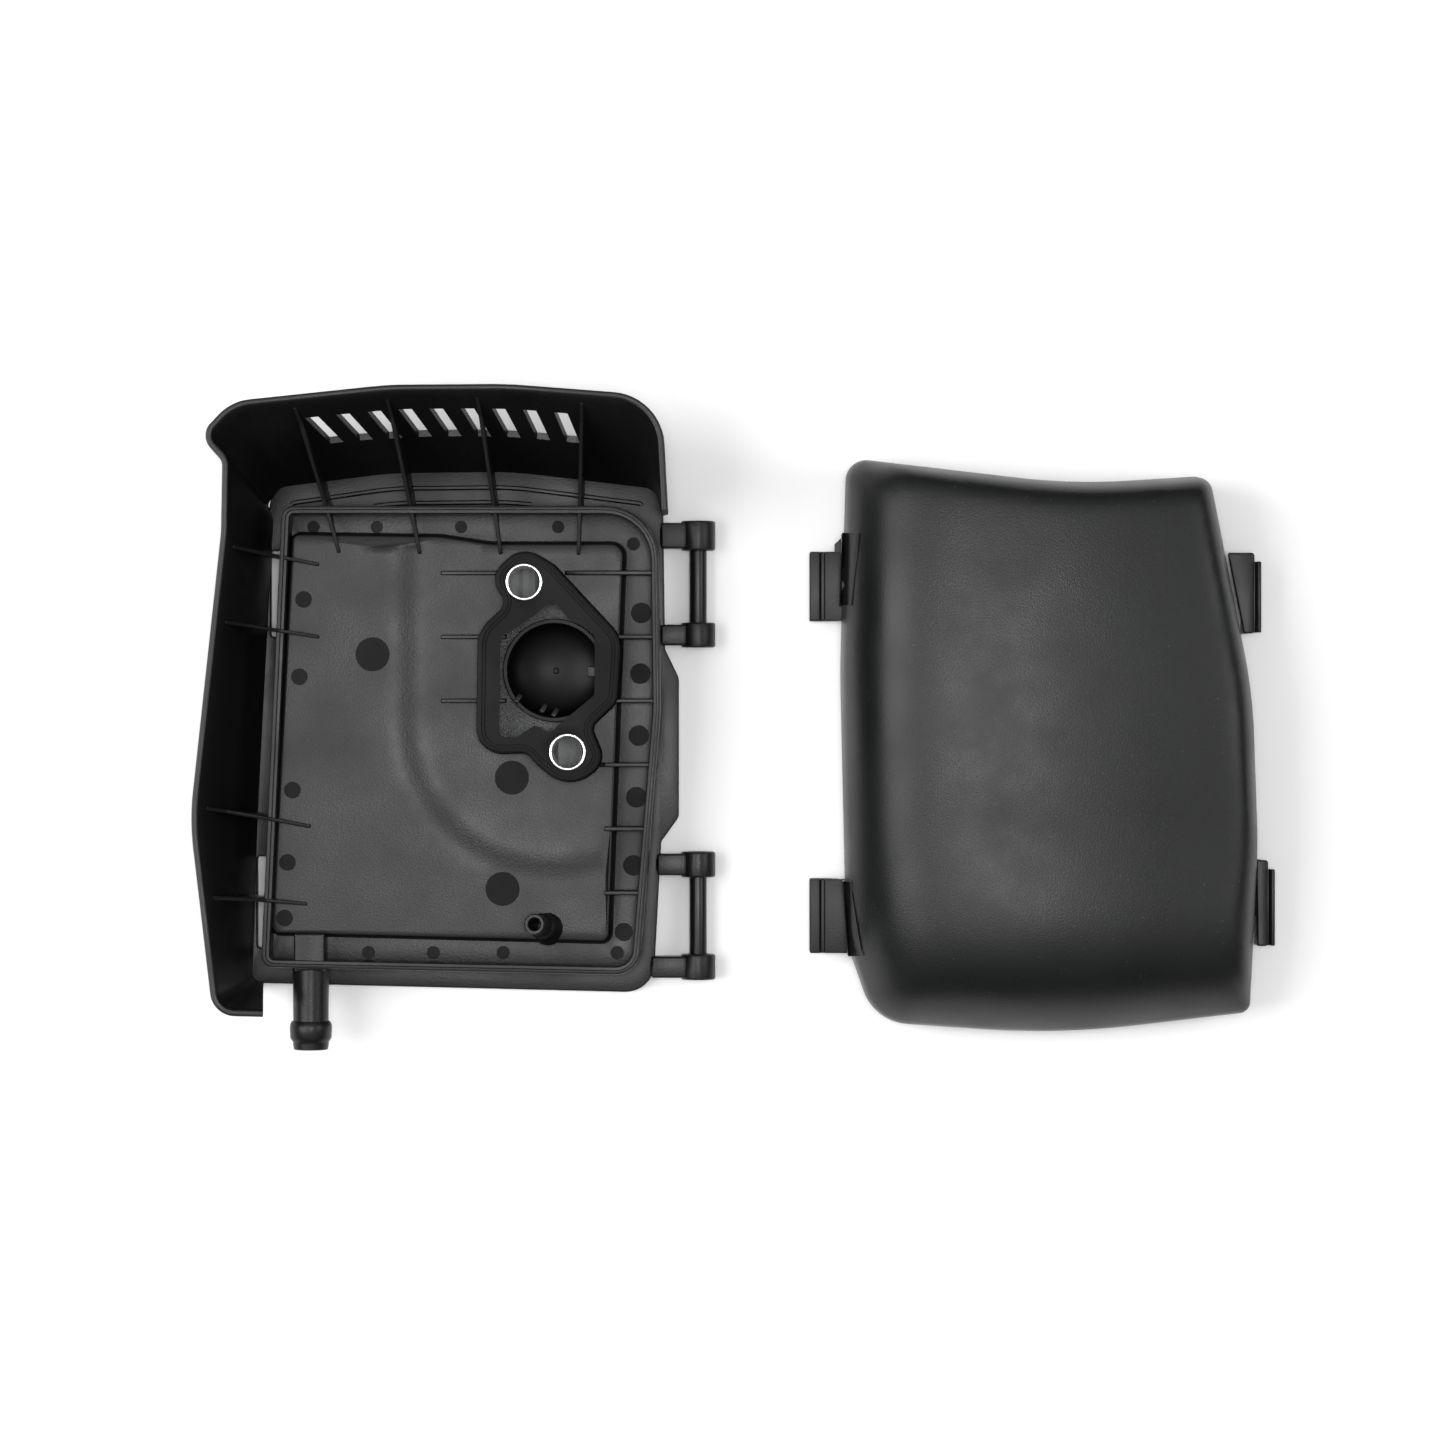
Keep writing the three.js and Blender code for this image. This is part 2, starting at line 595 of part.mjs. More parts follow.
// Open hook that is pushed over its bar: round behind the bar, with a plate on top that runs back
// to the skirt and thins out under its far end.
function coverHook(bar) {
  const inner = BAR_RADIUS + RUNNING;
  const low = bar.middle - bar.clear / 2 + HOOK_SIDE_GAP;
  const high = bar.middle + bar.clear / 2 - HOOK_SIDE_GAP;
  const top = 2 * HINGE_Z;
  const bottom = HINGE_Z - HOOK_RADIUS;
  const section = rounded([
    [HOOK_MOUTH, top, 0.6], [HOOK_BACK, top, 0.3], [HOOK_BACK, top - 0.8, 0.2],
    [5.4, HINGE_Z + inner, 0.6], [HOOK_RADIUS, HINGE_Z + inner, 0.4],
    [HOOK_RADIUS, bottom, HOOK_RADIUS * 0.98], [HOOK_MOUTH, bottom, 0.6],
    [HOOK_MOUTH, HINGE_Z - inner, 0], [0, HINGE_Z - inner, 0], [inner, HINGE_Z - inner, inner * 0.98],
    [inner, HINGE_Z + inner, inner * 0.98], [0, HINGE_Z + inner, 0], [HOOK_MOUTH, HINGE_Z + inner, 0],
  ], 5);
  return alongY(section, low, high);
}

// Snap latch: root tab beside the skirt, leg with a catch, and the strip that a finger presses.
function coverLatch({ leg, y, catchTip, catchY, root }) {
  const strip = leg[1] + STRIP.reach;
  const corners = (...places) => places.map((place) => new THREE.Vector2(...place));
  const [rootBottom, rootTop] = LATCH_ROOT_Z;
  const tab = solid(prism(
    corners([root[0], y[1]], [strip, y[1]], [strip, y[0]], [root[1], y[0]]), rootBottom, rootTop));
  const legPlate = solid(block(leg, y, [0, rootTop]));
  const back = leg[0] + 0.2;
  const wedge = corners(
    [back, CATCH_Z[0] - 2], [back, CATCH_Z[1]], [catchTip, CATCH_Z[1]], [catchTip, CATCH_Z[0]]);
  const catchWedge = solid(alongY(wedge, ...catchY));
  const finger = solid(block(
    [strip - STRIP.thickness, strip], [y[0], y[1] - STRIP.shorter], [rootBottom, STRIP.top]));
  return join(tab, legPlate, catchWedge, finger);
}

// ---- assembly -------------------------------------------------------------------------------

addSolid(base, 'base_tray', baseTray(), plastic);
addSolid(base, 'back_plate', backPlate(), plastic);
addSolid(base, 'carb_flange', carbFlange(), plastic);
addSolid(base, 'louvre_hood', louvreHood(), plastic);
addSolid(base, 'side_shroud', shroudWall(SIDE_FOOT, SIDE_RIM), plastic);
sideRibs().forEach((rib, i) => addSolid(base, `side_rib_${i + 1}`, rib, plastic));
addSolid(base, 'intake_bowl', intakeBowl(), plastic);
addPart(base, 'breather_spigot', breatherSpigot(), plastic);
addSolid(base, 'vent_nipple', ventNipple(), plastic);
const [upperPlace, lowerPlace] = sleevePlaces();
addSolid(base, 'screw_sleeve_upper', sleeve(...upperPlace), zinc);
addSolid(base, 'screw_sleeve_lower', sleeve(...lowerPlace), zinc);
addSolid(base, 'filter_seal', filterSeal(), urethane);
addSolid(base, 'filter_paper', filterPaper(), paper);
addPart(base, 'filter_foam', prism(rounded(FILTER_CORE), ...FOAM_HEIGHTS), foam);
for (const bar of BARS) {
  addEars(bar);
  addPart(hinge, `hinge_bar_${bar.name}`, hingeBar(bar), barPlastic);
  addPart(cover, `cover_hook_${bar.name}`, coverHook(bar), coverPlastic);
}
addSolid(cover, 'cover_shell', coverShell(), coverPlastic);
for (const latch of LATCHES) {
  addSolid(cover, `cover_latch_${latch.name}`, coverLatch(latch), coverPlastic);
}

export default housing;
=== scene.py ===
import json
import math

import bmesh
import bpy
import numpy as np
from mathutils import Matrix, Vector
from mathutils.geometry import delaunay_2d_cdt

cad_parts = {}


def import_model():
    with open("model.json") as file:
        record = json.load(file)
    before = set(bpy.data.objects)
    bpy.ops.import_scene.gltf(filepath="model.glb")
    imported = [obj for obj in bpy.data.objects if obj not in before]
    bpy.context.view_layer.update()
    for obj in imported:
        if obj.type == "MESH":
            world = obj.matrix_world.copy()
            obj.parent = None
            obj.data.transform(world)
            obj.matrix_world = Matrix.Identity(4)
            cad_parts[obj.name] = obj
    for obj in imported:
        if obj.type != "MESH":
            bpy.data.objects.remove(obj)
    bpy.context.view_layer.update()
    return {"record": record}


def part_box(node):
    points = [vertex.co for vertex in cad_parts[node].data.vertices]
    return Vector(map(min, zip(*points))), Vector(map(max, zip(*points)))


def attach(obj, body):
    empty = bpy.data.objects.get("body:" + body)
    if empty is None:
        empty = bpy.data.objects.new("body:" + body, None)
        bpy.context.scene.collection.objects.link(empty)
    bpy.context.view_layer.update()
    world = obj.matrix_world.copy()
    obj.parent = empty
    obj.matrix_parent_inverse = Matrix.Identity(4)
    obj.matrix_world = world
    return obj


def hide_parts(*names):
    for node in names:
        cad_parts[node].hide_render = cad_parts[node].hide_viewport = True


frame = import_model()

# All shapes are in millimetres from the hinge line: X = 0 and Y = 0 lie half way between the two
# hinge bars, and Z = 0 is the surface that the open housing rests on.
JOINTS = {joint["name"]: joint for joint in frame["record"]["behaviour"]["joints"]}
HINGE = Vector(JOINTS["cover_swing"]["pos_m"])
HINGE_Z = HINGE.z * 1000
TRAVEL = -JOINTS["cover_unhook"]["range_m"][0] * 1000


def low(node, axis=2):
    """Lowest coordinate of a CAD node, in millimetres from the hinge line."""
    return (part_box(node)[0][axis] - (HINGE[axis] if axis < 2 else 0)) * 1000


def high(node, axis=2):
    """Highest coordinate of a CAD node, in millimetres from the hinge line."""
    return (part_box(node)[1][axis] - (HINGE[axis] if axis < 2 else 0)) * 1000


# Heights: the CAD model sets them, and those that no node ends at are repeated from it.
LIP_TOP = 3
GUTTER_UNDERSIDE = 11.5
GUTTER_TOP = 14
FRAME_TOP = high("base_tray")
PLATE_TOP = high("back_plate")
FLANGE_TOP = high("carb_flange")
RIM_TOP = high("louvre_hood")
SKIRT_Z = low("cover_shell")
CROWN_TOP = high("cover_shell")

WALL = 1.8
SHROUD_WALL = 1.6
RIB = 1.1
RECESS_DEPTH = 1.1

# Outlines: corners are [x, y, radius].
FRAME = [
    [-99.8, 59.1, 3], [-9.5, 59.1, 13], [-8.9, 10, 60], [-14.2, -53.6, 6], [-104.8, -51.7, 3],
]
LIP = [
    [-104.6, 65, 7], [-75, 69.3, 80], [-45, 69.6, 80], [-8.6, 65, 6], [-8.1, 25, 2], [-4.7, 18, 4],
    [-4.7, -16, 3], [-9, -22, 2], [-11, -58.9, 7], [-109.6, -56.5, 3],
]
PLATE = [
    [-97.8, 52.5, 2], [-62, 52, 20], [-50, 50.2, 20], [-17.8, 50.2, 3], [-21.4, -45.8, 2],
    [-102.8, -43.7, 2],
]
FLANGE = [
    [-42, 49.5, 6], [-34.5, 45, 4], [-18.2, 27.5, 8], [-19.2, 12, 5], [-25.6, 6, 2.5],
    [-22, -2.5, 5], [-31, -9.5, 8], [-38.5, -3, 5], [-41, -0.2, 3], [-53, -0.6, 6],
    [-52.6, 29, 8], [-45.6, 35.5, 3], [-50, 42, 5],
]
INTAKE = [
    [-34.6, 37.2, 3], [-40, 32.5, 4], [-47.6, 27.5, 3], [-47.9, 3.2, 2], [-43, 3.2, 2],
    [-38.8, 6.2, 1], [-35.6, 4, 2], [-32.6, 6.6, 1.5], [-24.3, 13.5, 2], [-24.2, 29, 3],
    [-30.5, 32, 2],
]
COVER = [
    [5.4, 71.4, 5], [60, 65, 150], [93.2, 67, 4.5], [103.6, 14, 120], [104.9, -22, 120],
    [103.2, -63.2, 3], [57, -68.6, 200], [12.2, -65.6, 12], [5.4, -46, 30], [3.9, 20, 200],
]
# Openings in the lip that the latches' catches pass through when the cover is closed.
LATCH_WINDOWS = [
    [[-104.3, 49.0, 0.6], [-101.6, 49.0, 0.6], [-101.6, 28.0, 0.6], [-104.3, 28.0, 0.6]],
    [[-107.6, -25.6, 0.6], [-104.9, -25.6, 0.6], [-104.9, -47.9, 0.6], [-107.6, -47.9, 0.6]],
]

# Shroud: the same corners at the lip and at the outer rim, from the hinge side round the top
# and down the far side.
SHROUD_FOOT = [
    [-7.3, 57.9, 0], [-9.4, 65.3, 5], [-45, 69.6, 80], [-75, 69.3, 80], [-103.4, 65.7, 6],
    [-107, 60.5, 3], [-105.2, 56.5, 3], [-105.9, 44, 30], [-109, -15, 60], [-110.4, -57.2, 3],
    [-106.4, -57.9, 0],
]
SHROUD_RIM = [
    [-6.9, 57.5, 0], [-8.3, 84.5, 13], [-45, 87.3, 80], [-73, 87.1, 80], [-110.2, 83.2, 12],
    [-118.0, 75.0, 4.2], [-112.4, 69.2, 3.8], [-112.7, 52, 40], [-120.1, -16, 60],
    [-114.6, -62.3, 6], [-102.6, -62.6, 0],
]


# ---- outlines ----

def corner_arc(before, corner, after, steps):
    """The chords of the arc that rounds one corner between its two neighbours."""
    here = Vector(corner[:2])
    radius = corner[2]
    if radius == 0:
        return [here]
    back = (Vector(before[:2]) - here).normalized()
    on = (Vector(after[:2]) - here).normalized()
    half = math.acos(max(-1, min(1, back.dot(on)))) / 2
    middle = here + (back + on).normalized() * (radius / math.sin(half))
    first = here + back * (radius / math.tan(half)) - middle
    last = here + on * (radius / math.tan(half)) - middle
    turn = math.atan2(first.x * last.y - first.y * last.x, first.dot(last))
    points = []
    for i in range(steps + 1):
        angle = turn * i / steps
        spun = Vector((
            first.x * math.cos(angle) - first.y * math.sin(angle),
            first.x * math.sin(angle) + first.y * math.cos(angle),
        ))
        points.append(spun + middle)
    return points


def rounded(corners, steps=8):
    """Closed outline with rounded corners."""
    count = len(corners)
    points = []
    for i, corner in enumerate(corners):
        points += corner_arc(corners[i - 1], corner, corners[(i + 1) % count], steps)
    return points


def rounded_line(corners, steps=8):
    """Open line with rounded corners and free ends."""
    last = len(corners) - 1
    points = []
    for i, corner in enumerate(corners):
        points += corner_arc(corners[max(i - 1, 0)], corner, corners[min(i + 1, last)], steps)
    return points


def inset(corners, distance):
    """The same corners with every side moved inwards; corners run clockwise."""
    count = len(corners)
    moved = []
    for i, corner in enumerate(corners):
        here = Vector(corner[:2])
        arriving = (here - Vector(corners[i - 1][:2])).normalized()
        leaving = (Vector(corners[(i + 1) % count][:2]) - here).normalized()
        total = Vector((arriving.y, -arriving.x)) + Vector((leaving.y, -leaving.x))
        place = here + total * (2 * distance / total.length_squared)
        convex = arriving.x * leaving.y - arriving.y * leaving.x < 0
        radius = max(corner[2] + (-distance if convex else distance), 0.25)
        moved.append([place.x, place.y, radius])
    return moved


def ring_of(corners, steps=8):
    """Function that gives the outline moved inwards by a distance."""
    return lambda distance: rounded(inset(corners, distance), steps)


def circle(x, y, radius, sides=48):
    return [
        Vector((x + radius * math.cos(a), y + radius * math.sin(a)))
        for a in (2 * math.pi * i / sides for i in range(sides))
    ]


def round_hole(x, y, radius, sides=48):
    """Function that gives a round hole's edge, grown by a distance."""
    return lambda distance: circle(x, y, radius + distance, sides)


def shaped_hole(corners, steps=8):
    """Function that gives a hole's edge, grown by a distance."""
    return lambda distance: rounded(inset(corners, -distance), steps)


# ---- mesh building ----

class Shape:
    """Vertices and faces of one piece, in millimetres from the hinge line."""

    def __init__(self, place=None):
        self.verts = []
        self.faces = []
        self.place = place or (lambda x, y, z: (x, y, z))

    def add(self, verts, faces):
        first = len(self.verts)
        self.verts += [self.place(*vert) for vert in verts]
        self.faces += [[first + i for i in face] for face in faces]

    def rings(self, rings, closed=True, joined=False):
        """Quads between rings of the same count; joined also joins the last ring to the first."""
        count = len(rings[0])
        verts = [vert for ring in rings for vert in ring]
        faces = []
        for i in range(len(rings) if joined else len(rings) - 1):
            a = i * count
            b = ((i + 1) % len(rings)) * count
            for j in range(count if closed else count - 1):
                k = (j + 1) % count
                faces.append([a + j, a + k, b + k, b + j])
        self.add(verts, faces)

    def stack(self, ring, levels):
        """Rings at levels [distance, height], where ring(distance) gives each outline."""
        self.rings([[(p.x, p.y, z) for p in ring(d)] for d, z in levels])


def inside(points, loop):
    """For each point, whether it lies inside the closed loop."""
    px, py = points[:, 0:1], points[:, 1:2]
    ax, ay = loop[:, 0], loop[:, 1]
    bx, by = np.roll(ax, -1), np.roll(ay, -1)
    spans = (ay > py) != (by > py)
    with np.errstate(divide="ignore", invalid="ignore"):
        crossing = (bx - ax) * (py - ay) / (by - ay) + ax
    return (spans & (px < crossing)).sum(axis=1) % 2 == 1


def clear_of(points, loop, distance):
    """For each point, whether it is further than the distance from every point of the loop."""
    gaps = np.hypot(points[:, 0:1] - loop[:, 0], points[:, 1:2] - loop[:, 1])
    return gaps.min(axis=1) > distance


def fill(shape, outer, holes, height, spacing=None):
    """Triangles between an outline and its holes, at a height or at height(x, y)."""
    loops = [np.array([tuple(p) for p in loop]) for loop in [outer, *holes]]
    points = [tuple(p) for loop in loops for p in loop]
    edges = []
    first = 0
    for loop in loops:
        count = len(loop)
        edges += [(first + i, first + (i + 1) % count) for i in range(count)]
        first += count
    if spacing:
        left, bottom = loops[0].min(axis=0)
        right, top = loops[0].max(axis=0)
        xs, ys = np.meshgrid(np.arange(left, right, spacing), np.arange(bottom, top, spacing))
        grid = np.column_stack([xs.ravel() + (ys.ravel() / spacing % 2) * spacing / 2, ys.ravel()])
        keep = inside(grid, loops[0])
        for hole in loops[1:]:
            keep &= ~inside(grid, hole)
        grid = grid[keep]
        for loop in loops:
            grid = grid[clear_of(grid, loop, spacing * 0.45)]
        points += [tuple(p) for p in grid]
    verts, _, faces, _, _, _ = delaunay_2d_cdt([Vector(p) for p in points], edges, [], 0, 1e-5)
    flat = np.array([tuple(v) for v in verts])
    centres = np.array([flat[list(face)].mean(axis=0) for face in faces])
    keep = inside(centres, loops[0])
    for hole in loops[1:]:
        keep &= ~inside(centres, hole)
    level = height if callable(height) else (lambda x, y: height)
    shape.add(
        [(v.x, v.y, level(v.x, v.y)) for v in verts],
        [list(face) for face, kept in zip(faces, keep) if kept],
    )


EDGE_STEPS = 3
EDGE_TURNS = [math.pi / 2 * i / EDGE_STEPS for i in range(EDGE_STEPS + 1)]


def edge_levels(bottom, top, radius):
    """Levels [inset, height] of a slab's side with both edges rounded."""
    lower = [(radius * (1 - math.sin(a)), bottom + radius * (1 - math.cos(a))) for a in EDGE_TURNS]
    upper = [(radius * (1 - math.cos(a)), top - radius * (1 - math.sin(a))) for a in EDGE_TURNS]
    return lower + upper


def slab(shape, outer, holes, bottom, top, radius=0.3):
    """Solid between two heights, with rounded edges on its outline and on its holes."""
    levels = edge_levels(bottom, top, radius)
    for ring in [outer, *holes]:
        shape.stack(ring, levels)
    for d, z in (levels[0], levels[-1]):
        fill(shape, outer(d), [hole(d) for hole in holes], z)


def sweep(shape, path, profile, closed=True):
    """A closed profile [offset to the outside, height] carried along a line."""
    count = len(path)
    area = sum(path[i - 1].x * path[i].y - path[i].x * path[i - 1].y for i in range(count))
    side = 1 if area > 0 else -1
    rings = []
    for i, point in enumerate(path):
        before = path[i - 1] if closed else path[max(i - 1, 0)]
        after = path[(i + 1) % count] if closed else path[min(i + 1, count - 1)]
        along = (after - before).normalized()
        out = Vector((along.y, -along.x)) * side
        rings.append([(point.x + out.x * d, point.y + out.y * d, z) for d, z in profile])
    shape.rings(rings, joined=closed)
    if not closed:
        for ring in (rings[0], rings[-1]):
            shape.add(ring, [list(range(len(ring)))])


def lathe(shape, profile, matrix, sides=48, closed=False):
    """Profile [radius, height] turned about the matrix's Z axis."""
    rings = []
    for i in range(sides):
        angle = 2 * math.pi * i / sides
        rings.append([
            tuple(matrix @ Vector((r * math.cos(angle), r * math.sin(angle), h)))
            for r, h in profile
        ])
    shape.rings(rings, closed=closed, joined=True)


def standing(x, y):
    return Matrix.Translation((x, y, 0))


def lying(x, z):
    """Turns a lathe's axis to +Y, on the line through x and z."""
    return Matrix.Translation((x, 0, z)) @ Matrix.Rotation(-math.pi / 2, 4, "X")


def rod(shape, matrix, radius, start, end, edge=0.3, bore=0):
    """Cylinder with rounded edges, with a hole along it if bore isn't 0."""
    profile = [(radius - inwards, height) for inwards, height in edge_levels(start, end, edge)]
    if bore:
        profile += [(bore + edge / 2, end), (bore, end - edge / 2), (bore, start + edge / 2)]
        profile += [(bore + edge / 2, start)]
    else:
        profile = [(0, start)] + profile + [(0, end)]
    lathe(shape, profile, matrix, closed=bool(bore))


def soft_box(shape, x, y, z, radius=0.3):
    """Box with rounded edges."""
    corners = [
        [x[0], y[1], radius], [x[1], y[1], radius], [x[1], y[0], radius], [x[0], y[0], radius],
    ]
    slab(shape, ring_of(corners, 3), [], z[0], z[1], min(radius, (z[1] - z[0]) * 0.45))


def along_y(shape, corners, start, end, radius=0.25, steps=5):
    """Outline in X and Z, drawn out along Y, with rounded edges; corners run clockwise."""
    turned = Shape(lambda a, b, c: (a, c, b))
    slab(turned, ring_of(corners, steps), [], start, end, radius)
    shape.add(turned.verts, turned.faces)


def fin(shape, start, end, outline, thickness=RIB, edge=0.3):
    """Upright plate whose outline is [distance from start, height], clockwise."""
    along = (Vector(end) - Vector(start)).normalized()
    side = Vector((along.y, -along.x))

    def place(s, z, t):
        return (start[0] + along.x * s + side.x * t, start[1] + along.y * s + side.y * t, z)

    turned = Shape(place)
    corners = [[s, z, 0.5] for s, z in outline]
    slab(turned, ring_of(corners, 3), [], -thickness / 2, thickness / 2, edge)
    shape.add(turned.verts, turned.faces)


# Corners of one place are merged within this distance, in metres.
MERGE = 1e-6


def finish_piece(name, shape, material, body, nodes, sharp=32):
    """Makes the mesh object in metres, and ties it to the frame."""
    verts = [(x / 1000 + HINGE.x, y / 1000 + HINGE.y, z / 1000) for x, y, z in shape.verts]
    mesh = bpy.data.meshes.new(name)
    mesh.from_pydata(verts, [], shape.faces)
    mesh.materials.append(material)
    tidy = bmesh.new()
    tidy.from_mesh(mesh)
    bmesh.ops.remove_doubles(tidy, verts=tidy.verts, dist=MERGE)
    loose = [vert for vert in tidy.verts if not vert.link_faces]
    bmesh.ops.delete(tidy, geom=loose, context="VERTS")
    bmesh.ops.recalc_face_normals(tidy, faces=tidy.faces)
    tidy.to_mesh(mesh)
    tidy.free()
    mesh.shade_smooth()
    mesh.set_sharp_from_angle(angle=math.radians(sharp))
    piece = bpy.data.objects.new(name, mesh)
    bpy.context.scene.collection.objects.link(piece)
    if nodes:
        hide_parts(*nodes)
    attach(piece, body)
    return piece


# ---- materials ----

def new_material(name):
    material = bpy.data.materials.new(name)
    material.use_nodes = True
    tree = material.node_tree
    shader = tree.nodes["Principled BSDF"]
    where = tree.nodes.new("ShaderNodeTexCoord")
    return material, tree, shader, where.outputs["Object"]


def noise(tree, where, scale, detail=3.0, roughness=0.5):
    node = tree.nodes.new("ShaderNodeTexNoise")
    node.inputs["Scale"].default_value = scale
    node.inputs["Detail"].default_value = detail
    node.inputs["Roughness"].default_value = roughness
    tree.links.new(where, node.inputs["Vector"])
    return node.outputs["Fac"]


def spread(tree, value, lowest, highest, from_low=0.3, from_high=0.7):
    node = tree.nodes.new("ShaderNodeMapRange")
    node.inputs["From Min"].default_value = from_low
    node.inputs["From Max"].default_value = from_high
    node.inputs["To Min"].default_value = lowest
    node.inputs["To Max"].default_value = highest
    tree.links.new(value, node.inputs["Value"])
    return node.outputs["Result"]


def blend_colours(tree, factor, first, second):
    node = tree.nodes.new("ShaderNodeMix")
    node.data_type = "RGBA"
    tree.links.new(factor, node.inputs["Factor"])
    for socket, colour in ((node.inputs["A"], first), (node.inputs["B"], second)):
        if isinstance(colour, tuple):
            socket.default_value = (*colour, 1)
        else:
            tree.links.new(colour, socket)
    return node.outputs["Result"]


def bump(tree, height, distance, strength=1.0, before=None):
    node = tree.nodes.new("ShaderNodeBump")
    node.inputs["Strength"].default_value = strength
    node.inputs["Distance"].default_value = distance
    tree.links.new(height, node.inputs["Height"])
    if before is not None:
        tree.links.new(before, node.inputs["Normal"])
    return node.outputs["Normal"]


def dress(tree, shader, **inputs):
    """Links outputs to the shader's sockets, or sets a constant on the socket itself."""
    for name, value in inputs.items():
        socket = shader.inputs[name.replace("_", " ")]
        if isinstance(value, float):
            socket.default_value = value
        else:
            tree.links.new(value, socket)


def cloudy(tree, factor, first, second):
    """Colour that drifts between two with a noise."""
    return blend_colours(tree, spread(tree, factor, 0, 1), first, second)


def specks(tree, where, scale, size):
    """Small round spots, scattered thinly."""
    cells = tree.nodes.new("ShaderNodeTexVoronoi")
    cells.inputs["Scale"].default_value = scale
    tree.links.new(where, cells.inputs["Vector"])
    return spread(tree, cells.outputs["Distance"], 1, 0, size * 0.6, size)


PLASTIC_IOR = 1.49
DUST = (0.32, 0.32, 0.31)


def moulded_plastic(name, dark, pale, roughness, grain_scale, grain_depth, dust, gloss):
    """Black moulded plastic: fine grain, faint flow marks and a little dust."""
    material, tree, shader, where = new_material(name)
    colour = cloudy(tree, noise(tree, where, 22, 4), dark, pale)
    if dust:
        spots = specks(tree, where, 700, 0.2)
        gate = spread(tree, noise(tree, where, 240, 1), 0, dust, 0.58, 0.7)
        both = tree.nodes.new("ShaderNodeMath")
        both.operation = "MULTIPLY"
        tree.links.new(spots, both.inputs[0])
        tree.links.new(gate, both.inputs[1])
        colour = blend_colours(tree, both.outputs["Value"], colour, DUST)
    worn = noise(tree, where, 55, 3)
    grain = bump(tree, noise(tree, where, grain_scale, 2), grain_depth)
    dress(
        tree, shader, Base_Color=colour, IOR=PLASTIC_IOR, Specular_IOR_Level=gloss,
        Roughness=spread(tree, worn, roughness - 0.05, roughness + 0.06),
        Normal=bump(tree, noise(tree, where, 60, 1), 0.00012, 0.35, grain),
    )
    return material


def etched_plastic():
    """Coarse spark-eroded tool skin, seen on the floor of the intake recess."""
    material, tree, shader, where = new_material("etched_plastic")
    fine = noise(tree, where, 1700, 3)
    dress(
        tree, shader,
        Base_Color=cloudy(tree, fine, (0.012, 0.0125, 0.013), (0.06, 0.062, 0.064)),
        Roughness=spread(tree, fine, 0.3, 0.5),
        Normal=bump(tree, fine, 0.0003),
    )
    return material


def zinc_steel():
    """Bright zinc-plated steel, a little clouded."""
    material, tree, shader, where = new_material("zinc_steel")
    cloud = noise(tree, where, 300, 3)
    dress(
        tree, shader, Metallic=1.0,
        Base_Color=cloudy(tree, cloud, (0.74, 0.75, 0.77), (0.86, 0.87, 0.88)),
        Roughness=spread(tree, noise(tree, where, 900, 2), 0.24, 0.32),
        Normal=bump(tree, noise(tree, where, 2200, 2), 0.000004),
    )
    return material


def filter_paper():
    material, tree, shader, where = new_material("filter_paper")
    fibre = noise(tree, where, 900, 5, 0.7)
    dress(
        tree, shader, Roughness=0.92, Normal=bump(tree, fibre, 0.00012),
        Base_Color=cloudy(tree, fibre, (0.42, 0.43, 0.43), (0.6, 0.61, 0.6)),
    )
    return material


def filter_foam():
    """Open-cell foam: dark pores between thin struts."""
    material, tree, shader, where = new_material("filter_foam")
    pores = tree.nodes.new("ShaderNodeTexVoronoi")
    pores.inputs["Scale"].default_value = 700
    tree.links.new(where, pores.inputs["Vector"])
    open_cell = spread(tree, pores.outputs["Distance"], 0, 1, 0.15, 0.55)
    dress(
        tree, shader, Roughness=0.95, Normal=bump(tree, open_cell, 0.0009),
        Base_Color=blend_colours(tree, open_cell, (0.008, 0.008, 0.009), (0.075, 0.078, 0.082)),
    )
    return material


def urethane():
    material, tree, shader, where = new_material("urethane")
    cloud = noise(tree, where, 90, 4)
    dress(
        tree, shader, Roughness=spread(tree, cloud, 0.5, 0.66),
        Base_Color=cloudy(tree, cloud, (0.42, 0.13, 0.03), (0.55, 0.19, 0.05)),
        Normal=bump(tree, noise(tree, where, 1500, 3), 0.00006),
    )
    return material


BASE_PLASTIC = moulded_plastic(
    "base_plastic", (0.0048, 0.0049, 0.0052), (0.0078, 0.0079, 0.0082),
    roughness=0.38, grain_scale=1900, grain_depth=0.00004, dust=0.04, gloss=0.3,
)
SATIN_PLASTIC = moulded_plastic(
    "satin_plastic", (0.002, 0.002, 0.0021), (0.0032, 0.0032, 0.0033),
    roughness=0.5, grain_scale=2600, grain_depth=0.00004, dust=0, gloss=0.12,
)
COVER_PLASTIC = moulded_plastic(
    "cover_plastic", (0.0052, 0.0057, 0.0056), (0.0072, 0.0078, 0.0077),
    roughness=0.38, grain_scale=2400, grain_depth=0.00004, dust=0.06, gloss=0.3,
)
BOWL_PLASTIC = moulded_plastic(
    "bowl_plastic", (0.002, 0.002, 0.002), (0.003, 0.003, 0.003),
    roughness=0.4, grain_scale=900, grain_depth=0.00001, dust=0, gloss=0.15,
)
BAR_PLASTIC = moulded_plastic(
    "bar_plastic", (0.004, 0.004, 0.0042), (0.006, 0.006, 0.0062),
    roughness=0.34, grain_scale=1900, grain_depth=0.00002, dust=0, gloss=0.35,
)
ETCHED = etched_plastic()
ZINC = zinc_steel()


# ---- base ----

GUTTER_RIBS = [43.1, 27.7, 12.3, -3.1, -18.5, -33.9]
